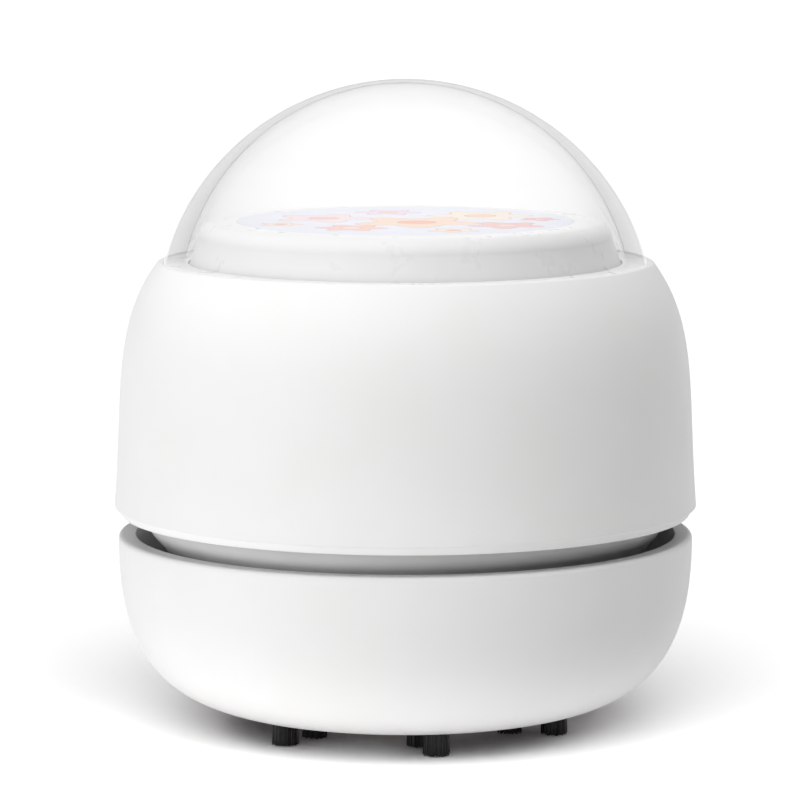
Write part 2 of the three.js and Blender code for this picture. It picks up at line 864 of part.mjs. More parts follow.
function bladeShape() {
  const middle = [];
  for (let i = 0; i <= bladeSteps; i += 1) {
    const share = i / bladeSteps;
    const radius = bladeInnerRadius + (impellerRadius - bladeInnerRadius) * share;
    const angle = bladeInletAngle - bladeSweep * share ** bladeBendShare;
    middle.push(new THREE.Vector2(...polar(radius, angle)));
  }
  const side = (sign) => middle.map((point, i) => {
    const before = middle[Math.max(i - 1, 0)];
    const after = middle[Math.min(i + 1, bladeSteps)];
    const along = after.clone().sub(before).normalize();
    const half = sign * bladeThickness / 2;
    return new THREE.Vector2(point.x - along.y * half, point.y + along.x * half);
  });
  return new THREE.Shape([...side(-1), ...side(1).reverse()]);
}

function makeImpeller() {
  const plateTop = bladeTop + impellerPlate;
  const bore = shaftRadius + seatGap;
  const rotor = revolve([
    [bore, bladeLow],
    [impellerHubRadius - bladeThickness, bladeLow],
    [impellerHubRadius, bladeLow + bladeThickness],
    [impellerHubRadius + bladeThickness, bladeTop],
    [impellerRadius, bladeTop],
    [impellerRadius, plateTop],
    [impellerHubRadius, plateTop],
    [impellerHubRadius, impellerTop],
    [bore, impellerTop],
  ], ringSides);
  const blades = [];
  for (let i = 0; i < bladeCount; i += 1) {
    const blade = prism(bladeShape(), bladeLow, bladeTop + impellerPlate / 2);
    blades.push(blade.rotateZ(i * 2 * Math.PI / bladeCount));
  }
  const rim = disc(impellerRadius, bladeLow - overrun, plateTop, ringSides);
  return join(rotor, ...blades.map((blade) => overlapOf(blade, rim)));
}

function makeMotorShaft() {
  return disc(shaftRadius, motorLow - shaftReach, motorLow + shaftInMotor, smallSides);
}

// A pan-head screw standing on its head's underside, shank along +Z or -Z
function makeScrew(seat, direction) {
  const profile = [
    [0, -screwLength],
    [screwRadius, -screwLength],
    [screwRadius, 0],
    [screwHeadRadius, 0],
    [screwHeadRadius, screwHeadHeight / 2],
    [screwHeadRadius * screwCrownShare, screwHeadHeight],
    [0, screwHeadHeight],
  ];
  return revolve(profile.map(([r, z]) => [r, seat - direction * z]), smallSides);
}

// Battery: a round cell lying across the front of the motor
const cellHeight = deckTop + seatGap + saddleFloor + seatGap + cellRadius;

function makeCell() {
  const half = cellLength / 2;
  const cell = revolve([
    [0, -half],
    [cellRadius, -half],
    [cellRadius, half - cellNubHeight],
    [cellNubRadius, half - cellNubHeight],
    [cellNubRadius, half],
    [0, half],
  ], roundSides);
  return cell.rotateY(Math.PI / 2).translate(0, -cellOffset, cellHeight);
}

function makeSaddle(side) {
  const low = deckTop + seatGap;
  const width = cellRadius + seatGap + saddleWall;
  const outline = new THREE.Shape();
  const bed = cellRadius + seatGap;
  const rise = low + saddleHeight;
  const bedAngle = Math.asin((cellHeight - rise) / bed);
  outline.moveTo(-width, low);
  outline.lineTo(width, low);
  outline.lineTo(width, rise);
  outline.absarc(0, cellHeight, bed, -bedAngle, Math.PI + bedAngle, true);
  outline.lineTo(-width, rise);
  const saddle = new THREE.ExtrudeGeometry(outline, {
    depth: saddleWidth,
    bevelEnabled: false,
    curveSegments: smallSides,
  });
  saddle.translate(0, 0, -saddleWidth / 2).rotateX(Math.PI / 2).rotateZ(Math.PI / 2);
  return saddle.translate(side * saddleSpacing / 2, -cellOffset, 0);
}

function makeTab(side) {
  const x = side * (cellLength / 2 + touchGap + tabThickness / 2);
  return block(tabThickness, tabWidth, tabWidth, x, -cellOffset, cellHeight - tabWidth / 2);
}

// Board and the parts on it, standing behind the motor
const boardLow = deckTop + seatGap;
const boardHeight = shellCeiling - boardHeadroom - boardLow;
const boardFace = boardOffset + boardThickness;

function makePort() {
  const near = boardFace + touchGap;
  const far = crossing(shellOuter, 1, portHeight)[0] - portRecess;
  const boreWidth = portWidth - 2 * portWall;
  const boreThickness = portThickness - 2 * portWall;
  const bore = portBar(boreWidth, boreThickness, near + portBackWall, far + overrun);
  return cut(portBar(portWidth, portThickness, near, far), bore);
}

function makeSwitch() {
  const near = boardFace + touchGap;
  const middle = near + switchBodyDepth / 2;
  const low = buttonHeight - switchBodyWidth / 2;
  const body = block(switchBodyWidth, switchBodyDepth, switchBodyWidth, 0, middle, low);
  const plungerEnd = near + switchBodyDepth + plungerReach;
  return join(body, barAlongY(plungerRadius, middle, plungerEnd, buttonHeight, smallSides));
}

function makeLightPipe() {
  const far = crossing(shellOuter, 1, lightHeight)[0] - lightInset;
  return barAlongY(lightRadius, boardFace + touchGap, far, lightHeight, smallSides);
}

// Power button: a round cap with a flange that keeps it in, and the stem that works the switch
function makeButton() {
  const stemEnd = boardFace + touchGap + switchBodyDepth + plungerReach + buttonTravel + seatGap;
  const flangeFar = buttonFlangeOffset + buttonFlangeThickness;
  const face = crossing(shellOuter, 1, buttonHeight)[0] + buttonProud;
  const profile = [
    [0, stemEnd],
    [buttonStemRadius, stemEnd],
    [buttonStemRadius, buttonFlangeOffset],
    [buttonRadius + buttonFlangeReach, buttonFlangeOffset],
    [buttonRadius + buttonFlangeReach, flangeFar],
    [buttonRadius, flangeFar],
    [buttonRadius, face - buttonEdge],
    [buttonRadius - buttonEdge, face],
    [0, face],
  ];
  return revolve(profile, roundSides).rotateX(-Math.PI / 2).translate(0, 0, buttonHeight);
}

// The button's spring, a helix about the stem
class Helix extends THREE.Curve {
  constructor(radius, length, turns) {
    super();
    this.radius = radius;
    this.length = length;
    this.turns = turns;
  }

  getPoint(t, target = new THREE.Vector3()) {
    const angle = 2 * Math.PI * this.turns * t;
    return target.set(this.radius * Math.cos(angle), this.length * t, this.radius * Math.sin(angle));
  }
}

function tubeShape(radius, sides) {
  const points = [];
  for (let i = 0; i < sides; i += 1) {
    const angle = 2 * Math.PI * i / sides;
    points.push(new THREE.Vector2(radius * Math.cos(angle), radius * Math.sin(angle)));
  }
  return new THREE.Shape(points);
}

// The least distance between the surfaces of neighbouring curls, measured on points along the wire
function leastCurlGap(curve, steps, perTurn, wire) {
  const points = curve.getPoints(steps);
  let least = Infinity;
  points.forEach((point, i) => {
    for (const other of points.slice(i + perTurn - 1)) least = Math.min(least, point.distanceTo(other));
  });
  return least - wire;
}

function makeButtonSpring() {
  const near = boardFace + touchGap + springWire / 2;
  const length = buttonFlangeOffset - touchGap - springWire / 2 - near;
  const curve = new Helix(springRadius, length, springTurns);
  const steps = springTurns * springStepsPerTurn;
  const gap = leastCurlGap(curve, steps, springStepsPerTurn, springWire);
  console.log('button spring, least gap between curls: ' + gap.toFixed(2) + ' mm');
  const spring = new THREE.ExtrudeGeometry(tubeShape(springWire / 2, springSides), {
    steps,
    extrudePath: curve,
    bevelEnabled: false,
  });
  return weld(spring.translate(0, near, buttonHeight));
}

// A soldered lead, a thin tube along a smooth route
function makeLead(points) {
  const route = new THREE.CatmullRomCurve3(points.map((point) => new THREE.Vector3(...point)));
  const lead = new THREE.ExtrudeGeometry(tubeShape(leadRadius, leadSides), {
    steps: leadSteps,
    extrudePath: route,
    bevelEnabled: false,
  });
  return weld(lead);
}

// Display stage: the raised white platform under the dome
const domeFootRadius = grooveRadius - seatGap;
const domeFootInner = domeFootRadius - domeFootWall;
const stageRadius = domeFootInner - domeStageGap;
const stageTopRadius = stageRadius - stageTaper;
const stageLow = grooveFloor + seatGap;
const stageTop = stageLow + stageHeight;
const stageFlatRadius = stageTopRadius - stageRound;
const discRadius = stageFlatRadius - stageRim;

function makeStage() {
  const roundLow = stageTop - stageRound;
  const edge = arcPoints(stageFlatRadius, roundLow, stageRound, stageRound, 0, stageRoundEnd, stageRoundSteps);
  const recess = stageTop - discRecess;
  const ceiling = recess - stageWall;
  return revolve([
    [stageRadius - stageWall, stageLow],
    [stageRadius, stageLow],
    [stageRadius, stageLow + stageSkirt],
    ...edge,
    [discRadius + seatGap, stageTop],
    [discRadius + seatGap, recess],
    [0, recess],
    [0, ceiling],
    [stageTopRadius - stageWall, ceiling],
  ], ringSides);
}

function makePrintDisc() {
  const low = stageTop - discRecess + touchGap;
  return disc(discRadius, low, low + discThickness, ringSides);
}

// Points of the part of a sphere that stands on a circle and reaches a top, from the circle up
function capPoints(footRadius, foot, top, steps) {
  const height = top - foot;
  const radius = (height ** 2 + footRadius ** 2) / (2 * height);
  const start = THREE.MathUtils.radToDeg(Math.asin((radius - height) / radius));
  const points = arcPoints(0, top - radius, radius, radius, start, 90, steps);
  points[steps] = [0, top];
  return points;
}

// Clear dome: part of a sphere, with a wall that thickens towards the foot
function makeDome() {
  const foot = grooveFloor + seatGap;
  const top = shellCrest - touchGap + domeHeight;
  const outer = capPoints(domeFootRadius, shellCrest - touchGap, top, domeSteps);
  const inner = capPoints(domeFootInner, stageLow + stageSkirt, top - domeWallTop, domeSteps);
  return revolve([[domeFootInner, foot], [domeFootRadius, foot], ...outer, ...inner.reverse()], ringSides);
}

addPiece('dust_cup', makeDustCup(), colours.whiteShell, 0.42);
addPiece('suction_plate', makeSuctionPlate(), colours.whiteInner, 0.5);
for (let backing = 0; backing < backingCount; backing += 1) {
  addPiece('bristles_' + (backing + 1), makeBristles(backing), colours.blackNylon, 0.6);
}
addPiece('filter_frame', makeFilterFrame(), colours.whiteInner, 0.5);
addPiece('filter_element', makeFilterElement(), colours.paper, 0.9);
addPiece('filter_gasket', makeFilterGasket(), colours.rubber, 0.8);
addPiece('fan_housing', makeFanHousing(), colours.greyNeck, 0.5);
addPiece('vent_ring', makeVentRing(), colours.whiteShell, 0.45);
addPiece('upper_shell', makeUpperShell(), colours.whiteShell, 0.42);
addPiece('motor_deck', makeMotorDeck(), colours.whiteInner, 0.55);
addPiece('motor_can', makeMotorCan(), colours.steel, 0.35, 0.9);
addPiece('motor_end_cap', makeMotorEndCap(), colours.black, 0.6);
addPiece('motor_sleeve', ring(sleeveInner, sleeveOuter, motorLow, motorLow + sleeveHeight, motorSides),
  colours.rubber, 0.8);
addPiece('motor_shaft', makeMotorShaft(), colours.steel, 0.3, 1);
addPiece('impeller', makeImpeller(), colours.whiteInner, 0.45);
addPiece('battery_cell', makeCell(), colours.cell, 0.45);
addPiece('battery_saddle_left', makeSaddle(-1), colours.whiteInner, 0.6);
addPiece('battery_saddle_right', makeSaddle(1), colours.whiteInner, 0.6);
addPiece('battery_tab_left', makeTab(-1), colours.steel, 0.35, 1);
addPiece('battery_tab_right', makeTab(1), colours.steel, 0.35, 1);
const boardMiddle = boardOffset + boardThickness / 2;
const board = block(boardWidth, boardThickness, boardHeight, 0, boardMiddle, boardLow);
addPiece('control_board', board, colours.board, 0.5);
addPiece('charging_port', makePort(), colours.steel, 0.3, 1);
addPiece('power_switch', makeSwitch(), colours.black, 0.5);
addPiece('light_pipe', makeLightPipe(), colours.light, 0.2);
addPiece('power_button', makeButton(), colours.whiteShell, 0.4);
addPiece('button_spring', makeButtonSpring(), colours.steel, 0.3, 1);
addPiece('display_stage', makeStage(), colours.whiteShell, 0.4);
addPiece('print_disc', makePrintDisc(), colours.print, 0.6);
addPiece('clear_dome', makeDome(), colours.clear, 0.05, 0, 0.3);

postAngles.forEach((angle, i) => {
  const [x, y] = polar(postRing, angle);
  const screw = makeScrew(deckTop + touchGap, -1).translate(x, y, 0);
  addPiece('housing_screw_' + (i + 1), screw, colours.steel, 0.35, 1);
});

bossAngles.forEach((angle, i) => {
  const [x, y] = polar(bossRing, angle);
  const screw = makeScrew(deckLow - touchGap, 1).translate(x, y, 0);
  addPiece('deck_screw_' + (i + 1), screw, colours.steel, 0.35, 1);
});

// Leads from the battery tabs and the motor terminals to the board
const leadBoardY = boardOffset - touchGap - leadRadius;
const leadBoardZ = boardLow + boardHeight;
for (const side of [-1, 1]) {
  const name = side < 0 ? 'left' : 'right';
  const colour = side < 0 ? colours.black : colours.red;
  const tabX = side * (cellLength / 2 + 2 * touchGap + tabThickness + leadRadius);
  addPiece('battery_lead_' + name, makeLead([
    [tabX, -cellOffset, cellHeight],
    [tabX + side * leadRadius, -cellOffset / 2, cellHeight + cellRadius / 2],
    [side * cellLength / 2, boardOffset / 6, cellHeight + cellRadius / 2],
    [side * boardWidth * leadBendShare, boardOffset / 2, cellHeight],
    [side * boardWidth * leadEndShare, leadBoardY, cellHeight],
  ]), colour, 0.5);
  const terminalX = side * (terminalSpacing / 2 + terminalWidth / 2 + touchGap + leadRadius);
  const terminalZ = motorLow + motorHeight + seatGap + motorCapHeight + terminalHeight / 2;
  addPiece('motor_lead_' + name, makeLead([
    [terminalX, 0, terminalZ],
    [terminalX + side * leadRadius, boardOffset / 3, terminalZ],
    [terminalX, boardOffset * leadBendShare, leadBoardZ - cellRadius / 2],
    [terminalX, leadBoardY, leadBoardZ - cellRadius],
  ]), colour, 0.5);
}

export default group;
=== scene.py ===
import math
from functools import partial
from types import SimpleNamespace

import bmesh
import bpy
from mathutils import Matrix, Vector


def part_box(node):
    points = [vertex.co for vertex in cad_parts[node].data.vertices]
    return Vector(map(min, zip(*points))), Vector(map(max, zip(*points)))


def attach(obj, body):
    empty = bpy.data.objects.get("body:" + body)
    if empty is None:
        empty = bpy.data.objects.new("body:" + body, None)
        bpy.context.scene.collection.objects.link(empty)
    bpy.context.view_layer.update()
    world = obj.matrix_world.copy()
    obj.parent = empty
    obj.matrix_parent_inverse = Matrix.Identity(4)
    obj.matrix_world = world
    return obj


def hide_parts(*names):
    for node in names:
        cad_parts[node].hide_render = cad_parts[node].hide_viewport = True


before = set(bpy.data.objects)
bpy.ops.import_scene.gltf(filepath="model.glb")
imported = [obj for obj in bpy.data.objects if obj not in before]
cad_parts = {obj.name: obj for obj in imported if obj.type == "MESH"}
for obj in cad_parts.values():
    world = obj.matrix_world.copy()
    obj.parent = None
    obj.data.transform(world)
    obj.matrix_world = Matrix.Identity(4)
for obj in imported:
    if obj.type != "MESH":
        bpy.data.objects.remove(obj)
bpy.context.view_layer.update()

mm = 0.001
seatGap = 0.3  # clearance between moulded pieces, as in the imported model
turnedSides = 192  # sides of a turned piece, smooth at the photograph's size
smallSides = 48
fineSides = 256
sharpAngle = math.radians(34)
goldenAngle = math.pi * (3 - math.sqrt(5))
overrun = 1  # how far a cutter or a tucked end goes past a face
hairline, fine, slight, crisp = 0.05, 0.1, 0.15, 0.2  # rounds of moulded and turned edges
soft, rounded, full = 0.3, 0.4, 0.5


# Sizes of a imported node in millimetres: its reach along +X, its ends along Y and its levels
def nodeSize(node):
    low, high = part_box(node)
    return SimpleNamespace(radius=high.x / mm, far=high.y / mm, near=low.y / mm, low=low.z / mm,
                           top=high.z / mm)


def hexColour(code):
    shares = [int(code[i:i + 2], 16) / 255 for i in (1, 3, 5)]
    return (*[s / 12.92 if s <= 0.04045 else ((s + 0.055) / 1.055) ** 2.4 for s in shares], 1)


def perMetre(size):
    return 1 / (size * mm)  # texture scale that gives features of that many millimetres


# A kind without Node in its name is a shader or maths node, and an input is a value, a socket, or a node
# that gives its first output
def addNode(tree, kind, inputs=None, **settings):
    node = tree.nodes.new(kind if "Node" in kind else "ShaderNode" + kind)
    for name, value in settings.items():
        setattr(node, name, value)
    for key, value in (inputs or {}).items():
        if isinstance(value, bpy.types.Node):
            value = value.outputs[0]
        if isinstance(value, bpy.types.NodeSocket):
            tree.links.new(value, node.inputs[key])
        else:
            node.inputs[key].default_value = value
    return node


# Outlines are lists of (radius, height) in millimetres

def bezier(a, b, c, d, steps):
    points = []
    for i in range(steps + 1):
        t = i / steps
        shares = ((1 - t) ** 3, 3 * t * (1 - t) ** 2, 3 * t ** 2 * (1 - t), t ** 3)
        points.append(tuple(sum(s * p[axis] for s, p in zip(shares, (a, b, c, d))) for axis in (0, 1)))
    return points


# From one angle to another; a height makes it a stretch of an ellipse
def arc(centre, radius, start, end, steps, height=None):
    angles = [math.radians(start + (end - start) * i / steps) for i in range(steps + 1)]
    rise = radius if height is None else height
    return [(centre[0] + radius * math.cos(a), centre[1] + rise * math.sin(a)) for a in angles]


# The part of a sphere that stands on a circle and reaches a top, from the circle up
def cap(footRadius, foot, top, steps):
    height = top - foot
    radius = (height ** 2 + footRadius ** 2) / (2 * height)
    start = math.degrees(math.asin((radius - height) / radius))
    return arc((0, top - radius), radius, start, 90, steps)[:-1] + [(0, top)]


# The same outline moved inwards by a wall
def inset(outline, wall):
    moved = []
    for i, point in enumerate(outline):
        before = Vector(outline[max(i - 1, 0)])
        after = Vector(outline[min(i + 1, len(outline) - 1)])
        along = (after - before).normalized()
        moved.append((point[0] - wall * along.y, point[1] + wall * along.x))
    return moved


def crossing(outline, axis, value):
    for before, after in zip(outline, outline[1:]):
        span = after[axis] - before[axis]
        if span and 0 <= (value - before[axis]) / span <= 1:
            share = (value - before[axis]) / span
            return tuple(before[k] + (after[k] - before[k]) * share for k in (0, 1))
    raise ValueError("the outline does not reach that value")


# Corners given as (radius, height, bend) become rounds of about that radius
def softened(outline, steps=5):
    points = []
    for i, (r, z, *bend) in enumerate(outline):
        corner = Vector((r, z))
        if not bend:
            points.append(corner)
            continue
        before = Vector(outline[i - 1][:2]) - corner
        after = Vector(outline[(i + 1) % len(outline)][:2]) - corner
        half = before.angle(after) / 2
        reach = min(bend[0] / math.tan(half), before.length / 2, after.length / 2)
        start = corner + before.normalized() * reach
        end = corner + after.normalized() * reach
        for k in range(steps + 1):
            t = k / steps
            points.append(start * (1 - t) ** 2 + corner * 2 * t * (1 - t) + end * t ** 2)
    return [(p[0], p[1]) for p in points]


# Meshes

def shade(mesh, material):
    mesh.materials.clear()
    mesh.materials.append(material)
    mesh.shade_smooth()
    mesh.set_sharp_from_angle(angle=sharpAngle)


def meshPiece(name, points, faces, material):
    mesh = bpy.data.meshes.new(name)
    mesh.from_pydata([Vector(p) * mm for p in points], [], faces)
    solid = bmesh.new()
    solid.from_mesh(mesh)
    bmesh.ops.remove_doubles(solid, verts=solid.verts, dist=1e-7)
    bmesh.ops.recalc_face_normals(solid, faces=solid.faces)
    solid.to_mesh(mesh)
    solid.free()
    shade(mesh, material)
    piece = bpy.data.objects.new(name, mesh)
    bpy.context.scene.collection.objects.link(piece)
    return piece


# Softens a closed outline and turns it about the Z axis; a point on the axis closes its pole
def turned(name, outline, finish, sides=turnedSides):
    points, rings, faces = [], [], []
    for r, z in softened(outline):
        rings.append((len(points), r > 1e-6))
        count = sides if r > 1e-6 else 1
        for k in range(count):
            angle = 2 * math.pi * k / sides
            points.append((r * math.cos(angle), r * math.sin(angle), z))
    for (a, openA), (b, openB) in zip(rings, rings[1:] + rings[:1]):
        for k in range(sides):
            n = (k + 1) % sides
            if openA and openB:
                faces.append((a + k, a + n, b + n, b + k))
            elif openA:
                faces.append((a + k, a + n, b))
            elif openB:
                faces.append((a, b + n, b + k))
    return meshPiece(name, points, faces, finishes[finish])


# Raises a flat outline of (x, y) from one height to another
def raised(name, outline, low, high, finish):
    count = len(outline)
    points = [(x, y, z) for z in (low, high) for x, y in outline]
    faces = [tuple(reversed(range(count))), tuple(range(count, 2 * count))]
    faces += [(k, (k + 1) % count, count + (k + 1) % count, count + k) for k in range(count)]
    return meshPiece(name, points, faces, finishes[finish])


def sector(inner, outer, start, end, steps=24):
    return arc((0, 0), outer, start, end, steps) + arc((0, 0), inner, end, start, steps)


def stadium(width, thickness, steps=16):
    reach, end = (width - thickness) / 2, thickness / 2
    return arc((reach, 0), end, -90, 90, steps) + arc((-reach, 0), end, 90, 270, steps)


def settle(piece):
    seen = piece.evaluated_get(bpy.context.evaluated_depsgraph_get())
    mesh = bpy.data.meshes.new_from_object(seen)
    piece.modifiers.clear()
    piece.data = mesh


def place(piece, matrix):
    piece.data.transform(matrix)
    return piece


# Moves a piece out from the axis to its place on a ring
def onRing(piece, ring, angle):
    turn = math.radians(angle)
    return place(piece, Matrix.Translation(Vector((math.cos(turn), math.sin(turn), 0)) * ring * mm))


# Makes one piece of several, in the material of the first
def joined(name, pieces):
    material = pieces[0].data.materials[0]
    solid = bmesh.new()
    for piece in pieces:
        solid.from_mesh(piece.data)
    mesh = bpy.data.meshes.new(name)
    solid.to_mesh(mesh)
    solid.free()
    shade(mesh, material)
    whole = pieces[0]
    whole.data = mesh
    whole.name = name
    for piece in pieces[1:]:
        bpy.data.objects.remove(piece)
    return whole


def carved(piece, cutters, edge=0.0):
    material = piece.data.materials[0]
    for cutter in cutters:
        opening = piece.modifiers.new("opening", "BOOLEAN")
        opening.object = cutter
        opening.solver = "EXACT"
    if edge:
        bevel = piece.modifiers.new("edge", "BEVEL")
        bevel.width = edge * mm
        bevel.segments = 3
        bevel.limit_method = "ANGLE"
        bevel.angle_limit = math.radians(55)
    bpy.context.view_layer.update()
    settle(piece)
    for cutter in cutters:
        bpy.data.objects.remove(cutter)
    shade(piece.data, material)
    return piece


# A finished piece rides on its body and stands for its nodes
def fit(piece, body, slot, *nodes):
    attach(piece, body)
    if nodes:
        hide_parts(*nodes)


# Geometry Nodes

def newTree(name, sockets):
    tree = bpy.data.node_groups.new(name, "GeometryNodeTree")
    tree.interface.new_socket("Geometry", in_out="OUTPUT", socket_type="NodeSocketGeometry")
    tree.interface.new_socket("Geometry", in_out="INPUT", socket_type="NodeSocketGeometry")
    for label, kind in sockets.items():
        tree.interface.new_socket(label, in_out="INPUT", socket_type="NodeSocket" + kind)
    return tree, partial(addNode, tree)


# Runs a tree on a piece, which keeps its material
def grow(piece, tree, values):
    material = piece.data.materials[0]
    values = dict(values, Material=material)
    modifier = piece.modifiers.new(tree.name, "NODES")
    modifier.node_group = tree
    for item in tree.interface.items_tree:
        if item.item_type == "SOCKET" and item.in_out == "INPUT" and item.name in values:
            modifier[item.identifier] = values[item.name]
    bpy.context.view_layer.update()
    settle(piece)
    shade(piece.data, material)
    return piece


# Repeats the incoming piece at even angles round the body's axis
def ringRepeatTree():
    tree, add = newTree("ringRepeat", {"Count": "Int", "Start angle": "Float", "Material": "Material"})
    given = add("NodeGroupInput").outputs
    points = add("GeometryNodePoints", {"Count": given["Count"]})
    index = add("GeometryNodeInputIndex")
    step = add("Math", {0: math.tau, 1: given["Count"]}, operation="DIVIDE")
    angle = add("Math", {0: index, 1: step, 2: given["Start angle"]}, operation="MULTIPLY_ADD")
    turn = add("CombineXYZ", {"Z": angle})
    copies = add("GeometryNodeInstanceOnPoints", {
        "Points": points, "Instance": given["Geometry"], "Rotation": turn})
    real = add("GeometryNodeRealizeInstances", {"Geometry": copies})
    dressed = add("GeometryNodeSetMaterial", {"Geometry": real, "Material": given["Material"]})
    add("NodeGroupOutput", {"Geometry": dressed})
    return tree


strand = {"sides": 5, "stations": 5, "bend": 1.7, "stray": 0.45, "straySeed": 7.0, "toneSeed": 13.0}


# Grows a round tuft of curved strands down from each incoming point, which carries its tuft's radius
def tuftTree():
    sway = strand["stray"]
    tree, add = newTree("bristleTuft", {
        "Strands": "Int", "Length": "Float", "Ragged share": "Float", "Splay": "Float",
        "Strand radius": "Float", "Seed": "Int", "Material": "Material"})
    given = add("NodeGroupInput").outputs
    seeds = add("GeometryNodeMeshToPoints", {"Mesh": given["Geometry"]})
    copies = add("GeometryNodeDuplicateElements", {
        "Geometry": seeds, "Amount": given["Strands"]}, domain="POINT")
    rank = copies.outputs["Duplicate Index"]
    radius = add("GeometryNodeInputNamedAttribute", {"Name": "tuftRadius"}, data_type="FLOAT")
    half = add("Math", {0: rank, 1: 0.5}, operation="ADD")
    share = add("Math", {0: half, 1: given["Strands"]}, operation="DIVIDE")
    spread = add("Math", {0: share}, operation="SQRT")
    angle = add("Math", {0: rank, 1: goldenAngle}, operation="MULTIPLY")
    cosine = add("Math", {0: angle}, operation="COSINE")
    sine = add("Math", {0: angle}, operation="SINE")
    outward = add("CombineXYZ", {"X": cosine, "Y": sine})
    reach = add("Math", {0: spread, 1: radius}, operation="MULTIPLY")
    offset = add("VectorMath", {0: outward, "Scale": reach}, operation="SCALE")
    rooted = add("GeometryNodeSetPosition", {"Geometry": copies, "Offset": offset})
    lengths = add("FunctionNodeRandomValue", {
        "Min": 0.0, "Max": 1.0, "Seed": given["Seed"]}, data_type="FLOAT")
    shorter = add("Math", {0: lengths.outputs[1], 1: given["Ragged share"]}, operation="MULTIPLY")
    kept = add("Math", {0: 1.0, 1: shorter}, operation="SUBTRACT")
    drop = add("Math", {0: kept, 1: given["Length"]}, operation="MULTIPLY")
    straySeed = add("Math", {0: given["Seed"], 1: strand["straySeed"]}, operation="ADD")
    stray = add("FunctionNodeRandomValue", {
        "Min": (-sway, -sway, 0), "Max": (sway, sway, 0), "Seed": straySeed}, data_type="FLOAT_VECTOR")
    flare = add("VectorMath", {0: outward, "Scale": spread}, operation="SCALE")
    mixed = add("VectorMath", {0: flare, 1: stray}, operation="ADD")
    lean = add("VectorMath", {0: mixed, "Scale": given["Splay"]}, operation="SCALE")
    toneSeed = add("Math", {0: given["Seed"], 1: strand["toneSeed"]}, operation="ADD")
    tone = add("FunctionNodeRandomValue", {"Min": 0.0, "Max": 1.0, "Seed": toneSeed}, data_type="FLOAT")
    stored = rooted
    for name, value, kind in (("drop", drop, "FLOAT"), ("lean", lean, "FLOAT_VECTOR"),
                              ("strandTone", tone.outputs[1], "FLOAT")):
        stored = add("GeometryNodeStoreNamedAttribute", {
            "Geometry": stored, "Name": name, "Value": value}, data_type=kind, domain="POINT")
    line = add("GeometryNodeCurvePrimitiveLine", {"Start": (0, 0, 0), "End": (0, 0, -1)})
    stations = add("GeometryNodeResampleCurve", {"Curve": line, "Count": strand["stations"]})
    planted = add("GeometryNodeInstanceOnPoints", {"Points": stored, "Instance": stations})
    real = add("GeometryNodeRealizeInstances", {"Geometry": planted})
    along = add("GeometryNodeSplineParameter")
    position = add("GeometryNodeInputPosition")
    parts = add("SeparateXYZ", {0: position})
    dropRead = add("GeometryNodeInputNamedAttribute", {"Name": "drop"}, data_type="FLOAT")
    leanRead = add("GeometryNodeInputNamedAttribute", {"Name": "lean"}, data_type="FLOAT_VECTOR")
    rise = add("Math", {0: parts.outputs["Z"], 1: along}, operation="ADD")
    level = add("Math", {0: along, 1: dropRead}, operation="MULTIPLY")
    height = add("Math", {0: rise, 1: level}, operation="SUBTRACT")
    foot = add("CombineXYZ", {"X": parts.outputs["X"], "Y": parts.outputs["Y"], "Z": height})
    bend = add("Math", {0: along, 1: strand["bend"]}, operation="POWER")
    bent = add("VectorMath", {0: leanRead, "Scale": bend}, operation="SCALE")
    where = add("VectorMath", {0: foot, 1: bent}, operation="ADD")
    curved = add("GeometryNodeSetPosition", {"Geometry": real, "Position": where})
    section = add("GeometryNodeCurvePrimitiveCircle", {
        "Resolution": strand["sides"], "Radius": given["Strand radius"]})
    strands = add("GeometryNodeCurveToMesh", {"Curve": curved, "Profile Curve": section, "Fill Caps": True})
    dressed = add("GeometryNodeSetMaterial", {"Geometry": strands, "Material": given["Material"]})
    add("NodeGroupOutput", {"Geometry": dressed})
    return tree


ringRepeat = ringRepeatTree()
bristleTuft = tuftTree()
print("trees built")


# Materials

def newMaterial(name):
    material = bpy.data.materials.new(name)
    material.use_nodes = True
    material.node_tree.nodes.clear()
    return material, partial(addNode, material.node_tree)


# Object coordinates, moved to a pattern's centre and stretched where it needs that
def coordinates(add, centre=(0, 0, 0), stretch=(1, 1, 1)):
    source = add("TexCoord")
    return add("Mapping", {
        "Vector": source.outputs["Object"], "Location": [c * mm for c in centre],
        "Scale": stretch}, vector_type="TEXTURE")


# Colour and gloss that follow one pattern, between a finish's two tones and its two roughnesses
def twoTone(add, pattern, finish, share=None):
    tone = add("Mix", {
        0: share or pattern, 6: hexColour(finish["dark"]), 7: hexColour(finish["pale"])}, data_type="RGBA")
    low, high = finish["gloss"]
    gloss = add("MapRange", {"Value": pattern, "To Min": low, "To Max": high})
    return {"Base Color": tone.outputs[2], "Roughness": gloss}


def surfaced(material, inputs):
    add = partial(addNode, material.node_tree)
    surface = add("BsdfPrincipled", inputs)
    add("OutputMaterial", {"Surface": surface})
    return material


# Injection-moulded ABS: satin, with the faint orange-peel of a spark-eroded mould and a slow drift of
# tone where the melt cooled unevenly; the real texture is about 0.1 mm, drawn coarser so that it shows
mould = {"driftSize": 22, "grainSize": 0.34, "wearSize": 7, "roughness": 0.36, "spread": 0.05, "relief": 0.35,
         "depth": 0.012, "shine": 0.5, "stops": (0.32, 0.68)}


